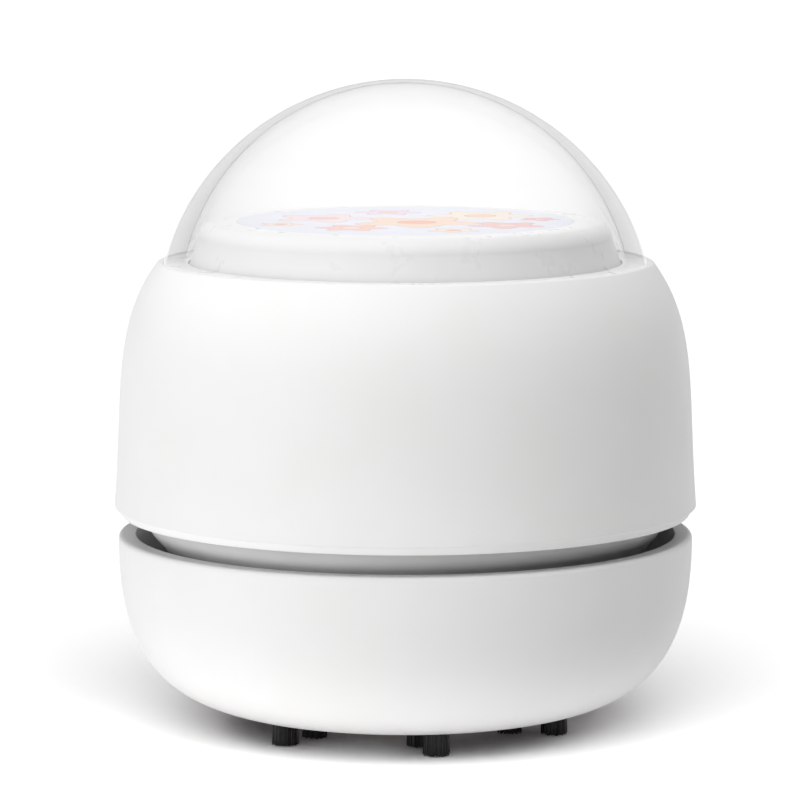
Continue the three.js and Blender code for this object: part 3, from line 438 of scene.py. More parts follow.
def mouldedPlastic(name, darker, lighter, **changes):
    finish = dict(mould, **changes)
    material, add = newMaterial(name)
    where = coordinates(add)
    drift = add("TexNoise", {
        "Vector": where, "Scale": perMetre(finish["driftSize"]), "Detail": 3.0, "Roughness": 0.55})
    tone = add("ValToRGB", {"Fac": drift})
    for stop, position, colour in zip(tone.color_ramp.elements, finish["stops"], (darker, lighter)):
        stop.position = position
        stop.color = hexColour(colour)
    grain = add("TexNoise", {
        "Vector": where, "Scale": perMetre(finish["grainSize"]), "Detail": 2.0, "Roughness": 0.6})
    wear = add("TexNoise", {
        "Vector": where, "Scale": perMetre(finish["wearSize"]), "Detail": 5.0, "Roughness": 0.65})
    gloss = add("MapRange", {
        "Value": wear, "From Min": 0.3, "From Max": 0.7, "To Min": finish["roughness"] - finish["spread"],
        "To Max": finish["roughness"] + finish["spread"]})
    relief = add("Bump", {"Height": grain, "Strength": finish["relief"], "Distance": finish["depth"] * mm})
    return surfaced(material, {"Base Color": tone, "Roughness": gloss, "Normal": relief, "IOR": 1.53,
                               "Specular IOR Level": finish["shine"]})


# Nylon filament, cut and heat-set: near black, each strand a little different, with a soft line of gloss
def nylonFilament():
    finish = {"dark": "#101011", "pale": "#2a2a2c", "scuff": 0.8, "gloss": (0.3, 0.52)}
    material, add = newMaterial("nylonFilamentBlack")
    ownTone = add("Attribute", attribute_name="strandTone")
    scuff = add("TexNoise", {"Vector": coordinates(add), "Scale": perMetre(finish["scuff"]), "Detail": 2.0})
    share = add("Math", {0: ownTone.outputs["Fac"], 1: scuff}, operation="MULTIPLY")
    return surfaced(material, {**twoTone(add, scuff, finish, share), "IOR": 1.53})


# Filter paper: off-white cellulose fibres pressed flat, without gloss
def filterPaper():
    finish = {"dark": "#d8d2c2", "pale": "#efebdf", "gloss": (0.86, 0.98), "fibre": 0.5,
              "stretch": (1, 2.5, 1), "mottle": 3, "depth": 0.05}
    material, add = newMaterial("cellulosePaper")
    where = coordinates(add, stretch=finish["stretch"])
    fibres = add("TexNoise", {
        "Vector": where, "Scale": perMetre(finish["fibre"]), "Detail": 6.0, "Roughness": 0.7,
        "Distortion": 1.2})
    mottle = add("TexNoise", {"Vector": where, "Scale": perMetre(finish["mottle"]), "Detail": 2.0})
    both = add("Math", {0: fibres, 1: 0.6, 2: mottle}, operation="MULTIPLY_ADD")
    share = add("MapRange", {"Value": both, "From Min": 0.5, "From Max": 1.1})
    relief = add("Bump", {"Height": fibres, "Strength": 0.6, "Distance": finish["depth"] * mm})
    return surfaced(material, {**twoTone(add, fibres, finish, share), "Normal": relief,
                               "Specular IOR Level": 0.2})


# Nickel-plated steel, drawn or turned: fine lines along the drawing direction
def platedSteel():
    finish = {"dark": "#9a9b9d", "pale": "#b9babc", "gloss": (0.22, 0.38), "line": 0.3,
              "stretch": (1, 1, 0.06)}
    material, add = newMaterial("platedSteel")
    lines = add("TexNoise", {
        "Vector": coordinates(add, stretch=finish["stretch"]), "Scale": perMetre(finish["line"]),
        "Detail": 3.0})
    return surfaced(material, {**twoTone(add, lines, finish), "Metallic": 1.0})


# Clear cast acrylic: its wall doesn't bend the view, greys it by the length of wall that it crosses, and
# mirrors on the polished skin where a ray enters
def castAcrylic():
    finish = {"colour": "#fefefe", "bend": 1.0, "skin": 1.49, "wave": 9, "haze": 0.006, "body": "#ebebeb",
              "density": 118}
    material, add = newMaterial("castAcrylicClear")
    wave = add("TexNoise", {"Vector": coordinates(add), "Scale": perMetre(finish["wave"]), "Detail": 1.0})
    haze = add("MapRange", {
        "Value": wave, "From Min": 0.35, "From Max": 0.75, "To Min": 0.0, "To Max": finish["haze"]})
    sides = add("NewGeometry")
    entering = add("Math", {0: 1.0, 1: sides.outputs["Backfacing"]}, operation="SUBTRACT")
    surface = add("BsdfPrincipled", {
        "Base Color": hexColour(finish["colour"]), "Roughness": haze, "IOR": finish["bend"],
        "Transmission Weight": 1.0, "Coat Weight": entering, "Coat IOR": finish["skin"],
        "Coat Roughness": haze})
    path = add("LightPath")
    window = add("BsdfTransparent", {"Color": hexColour(finish["colour"])})
    for ray in ("Is Diffuse Ray", "Is Shadow Ray"):  # what stands inside is lit straight through the wall
        surface = add("MixShader", {0: path.outputs[ray], 1: surface, 2: window})
    body = add("VolumeAbsorption", {"Color": hexColour(finish["body"]), "Density": finish["density"]})
    add("OutputMaterial", {"Surface": surface, "Volume": body})
    return material


# Frosted acrylic rod, ground at its ends, that glows softly round the charging light
def frostedAcrylic():
    finish = {"dark": "#d7dee8", "pale": "#e9eef4", "gloss": (0.2, 0.4), "grain": 0.3, "glowDepth": 2}
    material, add = newMaterial("frostedAcrylic")
    grain = add("TexNoise", {"Vector": coordinates(add), "Scale": perMetre(finish["grain"]), "Detail": 3.0})
    return surfaced(material, {**twoTone(add, grain, finish), "IOR": 1.49, "Subsurface Weight": 0.2,
                               "Subsurface Scale": finish["glowDepth"] * mm})


# Offset print on coated card: a scatter of plain blossoms in flat inks on a lavender ground, each with a
# thin keyline
def offsetPrint(centre):
    motif = {
        "ground": "#f6f6fc", "groundDark": "#eeeffa", "cloud": 7, "keyline": "#d9bcb8", "lineWidth": 0.25,
        "soft": 0.12, "rimShare": 0.8, "waveShare": 0.18, "heartShare": 0.3, "fibre": 0.4, "depth": 0.01,
        "blossoms": [  # x, y, radius, petals, turn, petal ink, heart ink
            (-12.1, 4.3, 7.4, 5, 0.3, "#f9e7ea", "#f4d0cb"),
            (11.2, 8.7, 7.8, 6, 0.1, "#fcefe2", "#f9d9c0"),
            (1.7, -2.6, 9.5, 5, 1.2, "#fbe2d0", "#f6c3ad"),
            (-7.8, -12.1, 5.2, 6, 0.7, "#f8d3c9", "#fbeadb"),
            (14.7, -7.8, 5.6, 5, 2.0, "#f6cfcd", "#fae3d4"),
            (-18.2, -6.1, 3.1, 5, 0.0, "#fae8d8", "#f2c4b6"),
            (19.9, 2.6, 2.9, 5, 0.9, "#f3c9ca", "#fae6da"),
            (-2.6, 14.7, 4.8, 6, 0.5, "#efe3f1", "#f6d4cd"),
            (6.9, -16.4, 3.6, 5, 1.7, "#fbebdd", "#f4c6b4"),
        ],
    }
    material, add = newMaterial("offsetPrintedCard")
    where = coordinates(add, centre)
    cloud = add("TexNoise", {"Vector": where, "Scale": perMetre(motif["cloud"]), "Detail": 3.0})
    ground = add("Mix", {
        0: cloud, 6: hexColour(motif["ground"]), 7: hexColour(motif["groundDark"])}, data_type="RGBA")
    colour = ground.outputs[2]
    line, blur = motif["lineWidth"] * mm, motif["soft"] * mm
    for x, y, size, petals, turn, ink, heart in motif["blossoms"]:
        away = add("VectorMath", {0: where, 1: (x * mm, y * mm, 0)}, operation="SUBTRACT")
        parts = add("SeparateXYZ", {0: away})
        length = add("VectorMath", {0: away}, operation="LENGTH").outputs["Value"]
        angle = add("Math", {0: parts.outputs["Y"], 1: parts.outputs["X"]}, operation="ARCTAN2")
        phase = add("Math", {0: angle, 1: float(petals), 2: turn}, operation="MULTIPLY_ADD")
        wave = add("Math", {0: phase}, operation="COSINE")
        petal = add("Math", {
            0: wave, 1: -motif["waveShare"] * size * mm, 2: length}, operation="MULTIPLY_ADD")
        rim, core = motif["rimShare"] * size * mm, motif["heartShare"] * size * mm
        for reach, edge, layer in ((petal, rim + line, motif["keyline"]), (petal, rim, ink),
                                   (length, core, motif["keyline"]), (length, core - line, heart)):
            mask = add("MapRange", {"Value": reach, "From Min": edge + blur, "From Max": edge})
            laid = add("Mix", {0: mask, 6: colour, 7: hexColour(layer)}, data_type="RGBA")
            colour = laid.outputs[2]
    fibre = add("TexNoise", {"Vector": where, "Scale": perMetre(motif["fibre"]), "Detail": 3.0})
    relief = add("Bump", {"Height": fibre, "Strength": 0.2, "Distance": motif["depth"] * mm})
    gloss = add("MapRange", {"Value": fibre, "To Min": 0.38, "To Max": 0.5})
    return surfaced(material, {"Base Color": colour, "Roughness": gloss, "Normal": relief, "IOR": 1.5})


# Shrink sleeve, soldermask and PVC insulation: a thin coloured skin, slightly mottled
def tintedSkin(name, darker, lighter, size, roughness):
    return mouldedPlastic(name, darker, lighter, driftSize=size, grainSize=0.6, roughness=roughness,
                          relief=0.3)


discSize = nodeSize("print_disc")
finishes = {
    "shell": mouldedPlastic("satinAbsWhite", "#f0f0ef", "#f3f3f3"),
    # From a polished mould: whiter, with a tighter gloss and half the grain
    "stage": mouldedPlastic("polishedAbsWhite", "#f7f7f7", "#fafafa", roughness=0.3, relief=0.18, wearSize=5),
    "button": mouldedPlastic("satinAbsButton", "#ebebea", "#f2f2f1", driftSize=4),
    # From plain moulds, as inner faces are: duller than the shell, and the inner pieces greyer. The neck is
    # the shell's white plastic greyed as painted shade, for its place deep in the gap under the shell
    "neck": mouldedPlastic("mouldedAbsPaintedShade", "#e0e0e0", "#e5e5e4", driftSize=9, roughness=0.42),
    "inner": mouldedPlastic("mouldedAbsInner", "#d5d6d7", "#dcdddd", driftSize=8, roughness=0.48,
                            grainSize=0.5),
    "impeller": mouldedPlastic("mouldedNylonWhite", "#d7d9da", "#dfe0e1", driftSize=6, roughness=0.45),
    # Glass fibres near the skin make this nylon dull and its grain deeper
    "nylon": mouldedPlastic("glassFilledNylonBlack", "#171718", "#222224", driftSize=3, roughness=0.5,
                            grainSize=0.4, depth=0.02),
    # Pressed silicone: dark and matt, with hardly a highlight
    "rubber": mouldedPlastic("siliconeRubber", "#262628", "#303033", driftSize=2.5, roughness=0.72,
                             grainSize=0.5, shine=0.3),
    "strand": nylonFilament(),
    "paper": filterPaper(),
    "steel": platedSteel(),
    "acrylic": castAcrylic(),
    "frosted": frostedAcrylic(),
    "card": offsetPrint((0, 0, discSize.top)),
    "sleeve": tintedSkin("shrinkSleeveBlue", "#396fa8", "#437fbd", 5, 0.3),
    "board": tintedSkin("soldermaskGreen", "#1a5236", "#22633f", 4, 0.35),
    "blackLead": tintedSkin("pvcBlack", "#151516", "#1d1d1f", 3, 0.45),
    "redLead": tintedSkin("pvcRed", "#a82226", "#bb2b2f", 3, 0.45),
}
print("materials built")


# Dust cup: a bowl whose flat foot is closed by the suction plate, with the filter's ledge inside
cup = {"lip": 2.6, "rimRound": 0.8, "footRadius": 20.5, "floor": 3.4, "sideShare": 0.592, "footShare": 0.785,
       "ledgeHeight": 18.8, "ledgeReach": 4, "ledgeThickness": 1.5, "openingRoom": 0.6, "ledgeRoom": 0.3,
       "steps": 40}
plate = {"radius": 26.8, "flangeReach": 3.3, "flangeThickness": 1.1, "inletRadius": 10, "flare": 2.2,
         "ductWall": 1.4, "ductHeight": 11.8, "edge": 0.12, "ductRound": 0.6, "mouthRound": 0.8,
         "throatRound": 1.2, "mouthRoom": 4, "rimRoom": 0.4}
cupSize = nodeSize("dust_cup")
cupBase, cupTop, cupRadius = cupSize.low, cupSize.top, cupSize.radius
rimEdge = cupTop - cup["rimRound"]


def bowlOutline(foot, rim, low):
    return bezier((foot, low), (foot + (rim - foot) * cup["footShare"], low),
                  (rim, rimEdge - (rimEdge - low) * cup["sideShare"]), (rim, rimEdge), cup["steps"])


cupOutline = bowlOutline(cup["footRadius"], cupRadius, cupBase)


def dustCup():
    opening = plate["radius"] + seatGap
    floorTop = cupBase + cup["floor"]
    innerRim = cupRadius - cup["lip"]
    floorRadius = plate["radius"] + plate["flangeReach"] + 2 * seatGap
    inner = bowlOutline(floorRadius, innerRim, floorTop)
    ledgeTop = cupBase + cup["ledgeHeight"]
    ledgeInner = crossing(inner, 1, ledgeTop)[0] - cup["ledgeReach"]
    ledgeFoot = ledgeTop - cup["ledgeThickness"] - cup["ledgeReach"]
    outline = [
        (*crossing(cupOutline, 0, opening), crisp),
        *[p for p in cupOutline if p[0] > opening + cup["openingRoom"]][:-1],
        (cupRadius, cupTop, cup["rimRound"]),
        (innerRim, cupTop, crisp),
        *[p for p in reversed(inner[:-1]) if p[1] > ledgeTop + cup["ledgeRoom"]],
        (*crossing(inner, 1, ledgeTop), soft),
        (ledgeInner, ledgeTop, crisp),
        (ledgeInner, ledgeTop - cup["ledgeThickness"], crisp),
        crossing(inner, 1, ledgeFoot),
        *[p for p in reversed(inner) if p[1] < ledgeFoot],
        (opening, floorTop),
    ]
    return turned("dustCup", outline, "shell")


fit(dustCup(), "cup", "body_white", "dust_cup")


# Brushes: three backings round the inlet, each with two pairs of tufts
brush = {"recess": 1, "thickness": 1.2, "margin": 0.45, "turn": 11, "lag": 4, "backings": 3, "pairs": 2,
         "rings": [{"radius": 23.2, "tuft": 2.0, "lag": 0}, {"radius": 16.7, "tuft": 1.9, "lag": -4}],
         "strands": 210, "strandRadius": 0.1, "rootInset": 1.5, "ragged": 0.06, "splay": 0.12, "seed": 11}
backingLow = cupBase + brush["recess"]
backingTop = backingLow + brush["thickness"]
rootLevel = backingLow + brush["thickness"] / 2
backingInner = brush["rings"][1]["radius"] - brush["rings"][1]["tuft"] - brush["margin"]
backingOuter = brush["rings"][0]["radius"] + brush["rings"][0]["tuft"] + brush["margin"]
pairAngle = 360 / (brush["backings"] * brush["pairs"])
backingHalf = (pairAngle * (brush["pairs"] - 1) / 2 + brush["lag"] / 2
               + math.degrees((brush["rings"][1]["tuft"] + brush["margin"]) / brush["rings"][1]["radius"]))


def backingMiddle(index):
    spread = pairAngle * (brush["pairs"] - 1) / 2 - brush["lag"] / 2
    return -90 + brush["turn"] + 360 / brush["backings"] * index + spread


def brushPiece(index):
    middle = backingMiddle(index)
    slab = raised("backing", sector(backingInner, backingOuter, middle - backingHalf, middle + backingHalf),
                  backingLow, backingTop, "nylon")
    slab = carved(slab, [], edge=slight)
    seeds, radii = [], []
    for pair in range(brush["pairs"]):
        for ring in brush["rings"]:
            turn = -90 + brush["turn"] + 360 / brush["backings"] * index + pairAngle * pair + ring["lag"]
            angle = math.radians(turn)
            seeds.append((ring["radius"] * math.cos(angle), ring["radius"] * math.sin(angle), rootLevel))
            radii.append(ring["tuft"] - brush["rootInset"] * brush["strandRadius"])
    tufts = meshPiece("tufts", seeds, [], finishes["strand"])
    reach = tufts.data.attributes.new("tuftRadius", "FLOAT", "POINT")
    reach.data.foreach_set("value", [r * mm for r in radii])
    grow(tufts, bristleTuft, {
        "Strands": brush["strands"], "Length": rootLevel * mm, "Ragged share": brush["ragged"],
        "Splay": brush["splay"] * mm, "Strand radius": brush["strandRadius"] * mm,
        "Seed": brush["seed"] + index})
    return joined("brush" + str(index + 1), [tufts, slab])


for index in range(brush["backings"]):
    fit(brushPiece(index), "cup", "bristle_nylon", "bristles_" + str(index + 1))
print("brushes grown")


# Suction plate: closes the cup's foot, with the inlet duct and a recess for each backing
def suctionPlate():
    flangeLow = cupBase + cup["floor"] + seatGap
    flangeTop = flangeLow + plate["flangeThickness"]
    flangeRadius = plate["radius"] + plate["flangeReach"]
    inlet = plate["inletRadius"]
    ductOuter = inlet + plate["ductWall"]
    ductTop = cupBase + plate["ductHeight"]
    outline = [
        (inlet + plate["flare"], cupBase, plate["mouthRound"]),
        *[p for p in cupOutline if inlet + plate["mouthRoom"] < p[0] < plate["radius"] - plate["rimRoom"]],
        (*crossing(cupOutline, 0, plate["radius"]), crisp),
        (plate["radius"], flangeLow),
        (flangeRadius, flangeLow, crisp),
        (flangeRadius, flangeTop, crisp),
        (ductOuter + plate["ductWall"], flangeTop, plate["ductRound"]),
        (ductOuter, flangeTop + plate["ductWall"], plate["ductRound"]),
        (ductOuter, ductTop, rounded),
        (inlet, ductTop, rounded),
        (inlet, cupBase + plate["flare"], plate["throatRound"]),
    ]
    body = turned("suctionPlate", outline, "inner")
    cutters = []
    for index in range(brush["backings"]):
        middle = backingMiddle(index)
        half = backingHalf + math.degrees(seatGap / backingInner)
        recess = sector(backingInner - seatGap, backingOuter + seatGap, middle - half, middle + half)
        cutters.append(raised("recess", recess, cupBase - overrun, backingTop + seatGap, "inner"))
    return carved(body, cutters, edge=plate["edge"])


fit(suctionPlate(), "cup", "inner_white", "suction_plate")


# Filter: a frame on the cup's ledge, the folded paper in its basket and the gasket on top
filterFrame = {"flangeThickness": 1.4, "basketRadius": 26.6, "wall": 1.4, "spokes": 6, "spokeWidth": 1.4,
               "hubRadius": 4, "round": 0.25}
pleats = {"pitch": 2.6, "paper": 0.6, "round": 5, "rows": 16, "trim": 0.05, "peak": 0.985}
gasket = {"inner": 27.5, "lipHeight": 0.25, "lips": 5}


# Bars from the axis outwards with rounded long edges
def spokes(name, count, inner, outer, width, low, high, finish):
    outline = [(inner, -width / 2), (outer, -width / 2), (outer, width / 2), (inner, width / 2)]
    bar = carved(raised(name, outline, low, high, finish), [], edge=crisp)
    return grow(bar, ringRepeat, {"Count": count, "Start angle": 0.0})


def filterFramePiece():
    size = nodeSize("filter_frame")
    low, top, bend = size.low, size.top, filterFrame["round"]
    basket, hubRadius = filterFrame["basketRadius"], filterFrame["hubRadius"]
    inner = basket - filterFrame["wall"]
    flangeLow = top - filterFrame["flangeThickness"]
    floorTop = low + filterFrame["wall"]
    ring = turned("frameRing", [
        (inner, low, bend), (basket, low, bend), (basket, flangeLow, bend), (size.radius, flangeLow, bend),
        (size.radius, top, bend), (inner, top, bend)], "inner")
    hub = turned("frameHub", [(0, low), (hubRadius, low, bend), (hubRadius, floorTop, bend), (0, floorTop)],
                 "inner", smallSides)
    arms = spokes("frameArms", filterFrame["spokes"], 0, inner + filterFrame["wall"] / 2,
                  filterFrame["spokeWidth"], low, floorTop, "inner")
    return joined("filterFrame", [ring, hub, arms])


# The paper: a zigzag strip with rounded folds, cut to a round pad
def foldedPaper():
    size = nodeSize("filter_element")
    radius = size.radius
    swing = (size.top - size.low - pleats["paper"]) / 2
    middle = (size.top + size.low) / 2
    stations = []
    x = pleats["trim"] - radius
    while x < radius - pleats["trim"]:
        wave = math.asin(pleats["peak"] * math.sin(math.pi * x / pleats["pitch"])) / math.asin(pleats["peak"])
        stations.append((x, middle + swing * wave))
        x += pleats["pitch"] / (2 * pleats["round"])
    points, faces = [], []
    rows = pleats["rows"]
    for side in (1, -1):
        for x, z in stations:
            reach = math.sqrt(radius ** 2 - x ** 2)
            for k in range(rows + 1):
                points.append((x, reach * (2 * k / rows - 1), z + side * pleats["paper"] / 2))
    row = rows + 1
    sheet = len(stations) * row
    ends = (0, len(stations) - 1)
    for i in range(len(stations)):
        for k in range(row):
            a = i * row + k
            if i < ends[1] and k < rows:
                faces.append((a, a + row, a + row + 1, a + 1))
                faces.append((sheet + a, sheet + a + 1, sheet + a + row + 1, sheet + a + row))
            if i < ends[1] and k in (0, rows):
                faces.append((a, a + row, sheet + a + row, sheet + a))
            if i in ends and k < rows:
                faces.append((a, a + 1, sheet + a + 1, sheet + a))
    return meshPiece("foldedPaper", points, faces, finishes["paper"])


def filterGasket():
    size = nodeSize("filter_gasket")
    inner, outer = gasket["inner"], size.radius
    step = (outer - inner) / gasket["lips"]
    flat = size.top - gasket["lipHeight"]
    return turned("filterGasket", [
        (inner, size.low, crisp), (outer, size.low, crisp), (outer, size.top, slight),
        (outer - step, size.top, crisp), (outer - 2 * step, flat, crisp), (inner + 2 * step, flat, crisp),
        (inner + step, size.top, crisp), (inner, size.top, slight)], "rubber")


fit(filterFramePiece(), "filter", "inner_white", "filter_frame")
fit(foldedPaper(), "filter", "filter_paper", "filter_element")
fit(filterGasket(), "filter", "rubber_seal", "filter_gasket")
print("filter made")


# Fan housing: the tapered neck in the gap, with the air eye, its finger guard and three screw posts
housing = {"floorRadius": 31.6, "bulgeRadius": 3.4, "bulgeHeight": 2.2, "taper": 3.1, "taperHeight": 3.5,
           "taperRound": 3, "collar": 4.2, "wall": 1.6, "eyeRadius": 12.5, "guardSpokes": 6,
           "guardWidth": 1.2, "guardHub": 3.2, "postRing": 30.6, "postRadius": 2.9,
           "postAngles": [20, 160, 270], "pilot": 1.35, "steps": 16}


def fanHousing():
    size = nodeSize("fan_housing")
    low, wall, eye, post = size.low, housing["wall"], housing["eyeRadius"], housing["postRadius"]
    floorTop = low + wall
    centre = (housing["floorRadius"], low + housing["bulgeHeight"])
    taperTop = centre[1] + housing["taperHeight"]
    top = taperTop + housing["collar"]
    outer = housing["floorRadius"] + housing["bulgeRadius"] + housing["taper"]
    bulgeRadius, bulgeHeight, steps = housing["bulgeRadius"], housing["bulgeHeight"], housing["steps"]
    bulge = arc(centre, bulgeRadius, -90, 0, steps, bulgeHeight)
    hollow = arc(centre, bulgeRadius - wall, 0, -90, steps, bulgeHeight - wall)
    bowl = turned("bowl", [
        (eye, low, rounded), *bulge, (outer, taperTop, housing["taperRound"]), (outer, top, soft),
        (outer - wall, top, soft), (outer - wall, taperTop, housing["taperRound"]), *hollow,
        (eye, floorTop, rounded)], "neck")
    hub = turned("guardHub", [
        (0, low), (housing["guardHub"], low, full), (housing["guardHub"], floorTop, soft), (0, floorTop)],
        "neck", smallSides)
    guard = spokes("guard", housing["guardSpokes"], 0, eye + overrun, housing["guardWidth"], low, floorTop,
                   "neck")
    posts = []
    for angle in housing["postAngles"]:
        tube = turned("post", [
            (housing["pilot"], floorTop - wall / 2), (post, floorTop - wall / 2), (post, size.top, soft),
            (housing["pilot"], size.top, crisp)], "neck", smallSides)
        posts.append(onRing(tube, housing["postRing"], angle))
    return joined("fanHousing", [bowl, hub, guard, *posts])


fit(fanHousing(), "head", "neck_grey", "fan_housing")


# Vent ring: the thin band under the shell and the ribs of the exhaust slots
shellSize = nodeSize("upper_shell")
vent = {"bandRound": 0.3, "jointGap": 0.03, "lean": 0.25, "ribs": 24, "ribWidth": 1, "ribHeight": 1.7,
        "ribLift": 0.4, "shellInner": 40.9, "housingRadius": 38.1}


def ventRing():
    size = nodeSize("vent_ring")
    inner = vent["shellInner"] - 3 * seatGap
    bandTop = shellSize.low - vent["jointGap"]
    band = turned("band", [
        (inner, size.low, slight), (size.radius - vent["lean"], size.low, vent["bandRound"]),
        (size.radius, bandTop, hairline), (inner, bandTop, hairline)], "shell")
    ribLow = size.low + vent["ribLift"]
    ribs = spokes("ribs", vent["ribs"], vent["housingRadius"] + seatGap, inner + seatGap, vent["ribWidth"],
                  ribLow, ribLow + vent["ribHeight"], "shell")
    return joined("ventRing", [band, ribs])


fit(ventRing(), "head", "body_white", "vent_ring")


# Upper shell: a bell with a crest round the dome's groove, and the openings at the back
shell = {"wall": 2.2, "edgeRound": 0.15, "crestRadius": 36.6, "crestWidth": 0.9, "crestRise": 0.15,
         "grooveDepth": 2.4, "topThickness": 2, "sideRadius": 0.968, "sideHeight": 0.472,
         "shoulderRadius": 1.007, "shoulderHeight": 0.7475, "edgeRoom": 0.4, "ceilingRoom": 1.2,
         "ceilingRound": 1.0, "holeEdge": 0.12, "steps": 64}
bosses = {"ring": 33.5, "radius": 2.8, "angles": [-8, 48, 132, 188], "pilot": 1.35, "depth": 9, "deck": 2}
back = {"flangeReach": 1, "lightRadius": 1.1, "lightRound": 0.35, "portWidth": 9, "portThickness": 3.3,
        "near": 37.4, "buttonTurn": (357, 71), "lightTurn": (350, 35)}  # a round hole's last angle and steps
for name, node in (("button", "power_button"), ("light", "light_pipe"), ("port", "charging_port")):
    back[name + "Height"] = (nodeSize(node).low + nodeSize(node).top) / 2
back["buttonRadius"] = nodeSize("power_button").top - back["buttonHeight"] - back["flangeReach"]
shellRadius, shellLow = shellSize.radius, shellSize.low
shellCrest = shellSize.top - shell["crestRise"]
shellHeight = shellCrest - shellLow
grooveRadius = shell["crestRadius"] - shell["crestWidth"]
grooveFloor = shellCrest - shell["grooveDepth"]
shellOutline = bezier(
    (shellRadius, shellLow + shell["edgeRound"]),
    (shellRadius * shell["sideRadius"], shellLow + shellHeight * shell["sideHeight"]),
    (shellRadius * shell["shoulderRadius"], shellLow + shellHeight * shell["shoulderHeight"]),
    (shell["crestRadius"], shellCrest), shell["steps"])

layFlat = Matrix.Rotation(math.radians(-90), 4, "X")  # turns +Z to +Y


def laidAlongY(piece, height):
    return place(piece, Matrix.Translation((0, 0, height * mm)) @ layFlat)


# A bar along +Y from one distance to another
def barAlongY(name, outline, near, far, height, finish):
    return laidAlongY(raised(name, outline, near, far, finish), height)


def upperShell():
    ceiling = grooveFloor - shell["topThickness"]
    inner = inset(shellOutline, shell["wall"])
    wallLow, wallTop = shellLow + shell["edgeRound"] + shell["edgeRoom"], ceiling - shell["ceilingRoom"]
    bell = turned("bell", [
        (0, grooveFloor), (0, ceiling), (*crossing(inner, 1, ceiling), shell["ceilingRound"]),
        *[p for p in reversed(inner) if wallLow < p[1] < wallTop],
        (shellRadius - shell["wall"], shellLow, crisp),
        (shellRadius, shellLow, shell["edgeRound"]),
        *shellOutline[1:-1],
        (shell["crestRadius"], shellCrest, crisp),
        (shell["crestRadius"] - shell["crestWidth"] / 2, shellSize.top, soft),
        (grooveRadius, shellCrest, fine),
        (grooveRadius, grooveFloor, crisp)], "shell", fineSides)
    far = shellRadius + overrun
    outlines = {
        "button": arc((0, 0), back["buttonRadius"] + seatGap, 0, *back["buttonTurn"]),
        "light": arc((0, 0), back["lightRadius"] + seatGap, 0, *back["lightTurn"]),
        "port": stadium(back["portWidth"] + 2 * seatGap, back["portThickness"] + 2 * seatGap)}
    bell = carved(bell, [barAlongY(name + "Hole", outline, back["near"], far, back[name + "Height"],
                                   "shell") for name, outline in outlines.items()],
                  edge=shell["holeEdge"])
    posts = []
    low, top = nodeSize("motor_deck").low + bosses["deck"] + seatGap, ceiling + overrun
    pilot, radius, pilotTop = bosses["pilot"], bosses["radius"], low + bosses["depth"]
    for angle in bosses["angles"]:
        post = turned("boss", [(pilot, low), (radius, low), (radius, top), (0, top), (0, pilotTop),
                               (pilot, pilotTop)], "shell", smallSides)
        posts.append(onRing(post, bosses["ring"], angle))
    return joined("upperShell", [bell, *posts])


fit(upperShell(), "head", "body_white", "upper_shell")
print("shell made")


# Impeller: backward-curved blades under a back plate
fan = {"blades": 9, "thickness": 1, "innerRadius": 9.5, "inlet": 32, "sweep": 52, "bendShare": 0.8,
       "height": 5.6, "plate": 1.2, "hubRadius": 4.2, "hubStep": 1, "hubRound": 1.2, "tipGap": 0.15,
       "bore": 1.3, "steps": 24, "shaftSides": 32, "sleeveWall": 1, "sleeveSides": 64}


def impeller():
    size = nodeSize("impeller")
    low = size.low
    bladeTop = low + fan["height"]
    plateTop = bladeTop + fan["plate"]
    reach = size.radius - fan["tipGap"]
    middle = []
    for i in range(fan["steps"] + 1):
        share = i / fan["steps"]
        angle = math.radians(fan["inlet"] - fan["sweep"] * share ** fan["bendShare"])
        radius = fan["innerRadius"] + (reach - fan["innerRadius"]) * share
        middle.append((radius * math.cos(angle), radius * math.sin(angle)))
    half = fan["thickness"] / 2
    outline = inset(middle, -half) + list(reversed(inset(middle, half)))
    blade = carved(raised("blade", outline, low, bladeTop + fan["plate"] / 2, "impeller"), [], edge=soft)
    blades = grow(blade, ringRepeat, {"Count": fan["blades"], "Start angle": 0.0})
    hub, step, bore, top = fan["hubRadius"], fan["hubStep"], fan["bore"], size.top
    rotor = turned("rotor", [
        (bore, low, crisp), (hub - step, low, soft), (hub, low + step, full),
        (hub + step, bladeTop, fan["hubRound"]), (size.radius, bladeTop, crisp),
        (size.radius, plateTop, soft), (hub, plateTop, full),
        (hub, top, soft), (bore, top, crisp)], "impeller")
    return joined("impellerWheel", [rotor, blades])


def motorShaft():
    size = nodeSize("motor_shaft")
    low, top, radius = size.low, size.top, size.radius
    return turned("motorShaft", [(0, low), (radius, low, crisp), (radius, top, crisp), (0, top)], "steel",
                  fan["shaftSides"])


def motorSleeve():
    size = nodeSize("motor_sleeve")
    low, top, radius = size.low, size.top, size.radius
    inner = radius - fan["sleeveWall"]
    return turned("motorSleeve", [(inner, low, crisp), (radius, low, crisp), (radius, top, crisp),
                                  (inner, top, crisp)], "rubber", fan["sleeveSides"])


fit(impeller(), "fan", "impeller_white", "impeller")
fit(motorShaft(), "fan", "steel", "motor_shaft")
fit(motorSleeve(), "head", "rubber_seal", "motor_sleeve")
print("fan made")


# The back: power button, charging port and the light beside it
button = {"edge": 0.5, "flangeThickness": 1, "stemRadius": 1.6, "dish": 0.25, "dishShare": 0.86,
          "dishSteps": 12, "sides": 96}
port = {"wall": 0.4, "backWall": 1.2, "tongueWidth": 6.2, "tongueThickness": 0.7, "tongueShare": 0.8,
        "edge": 0.08}


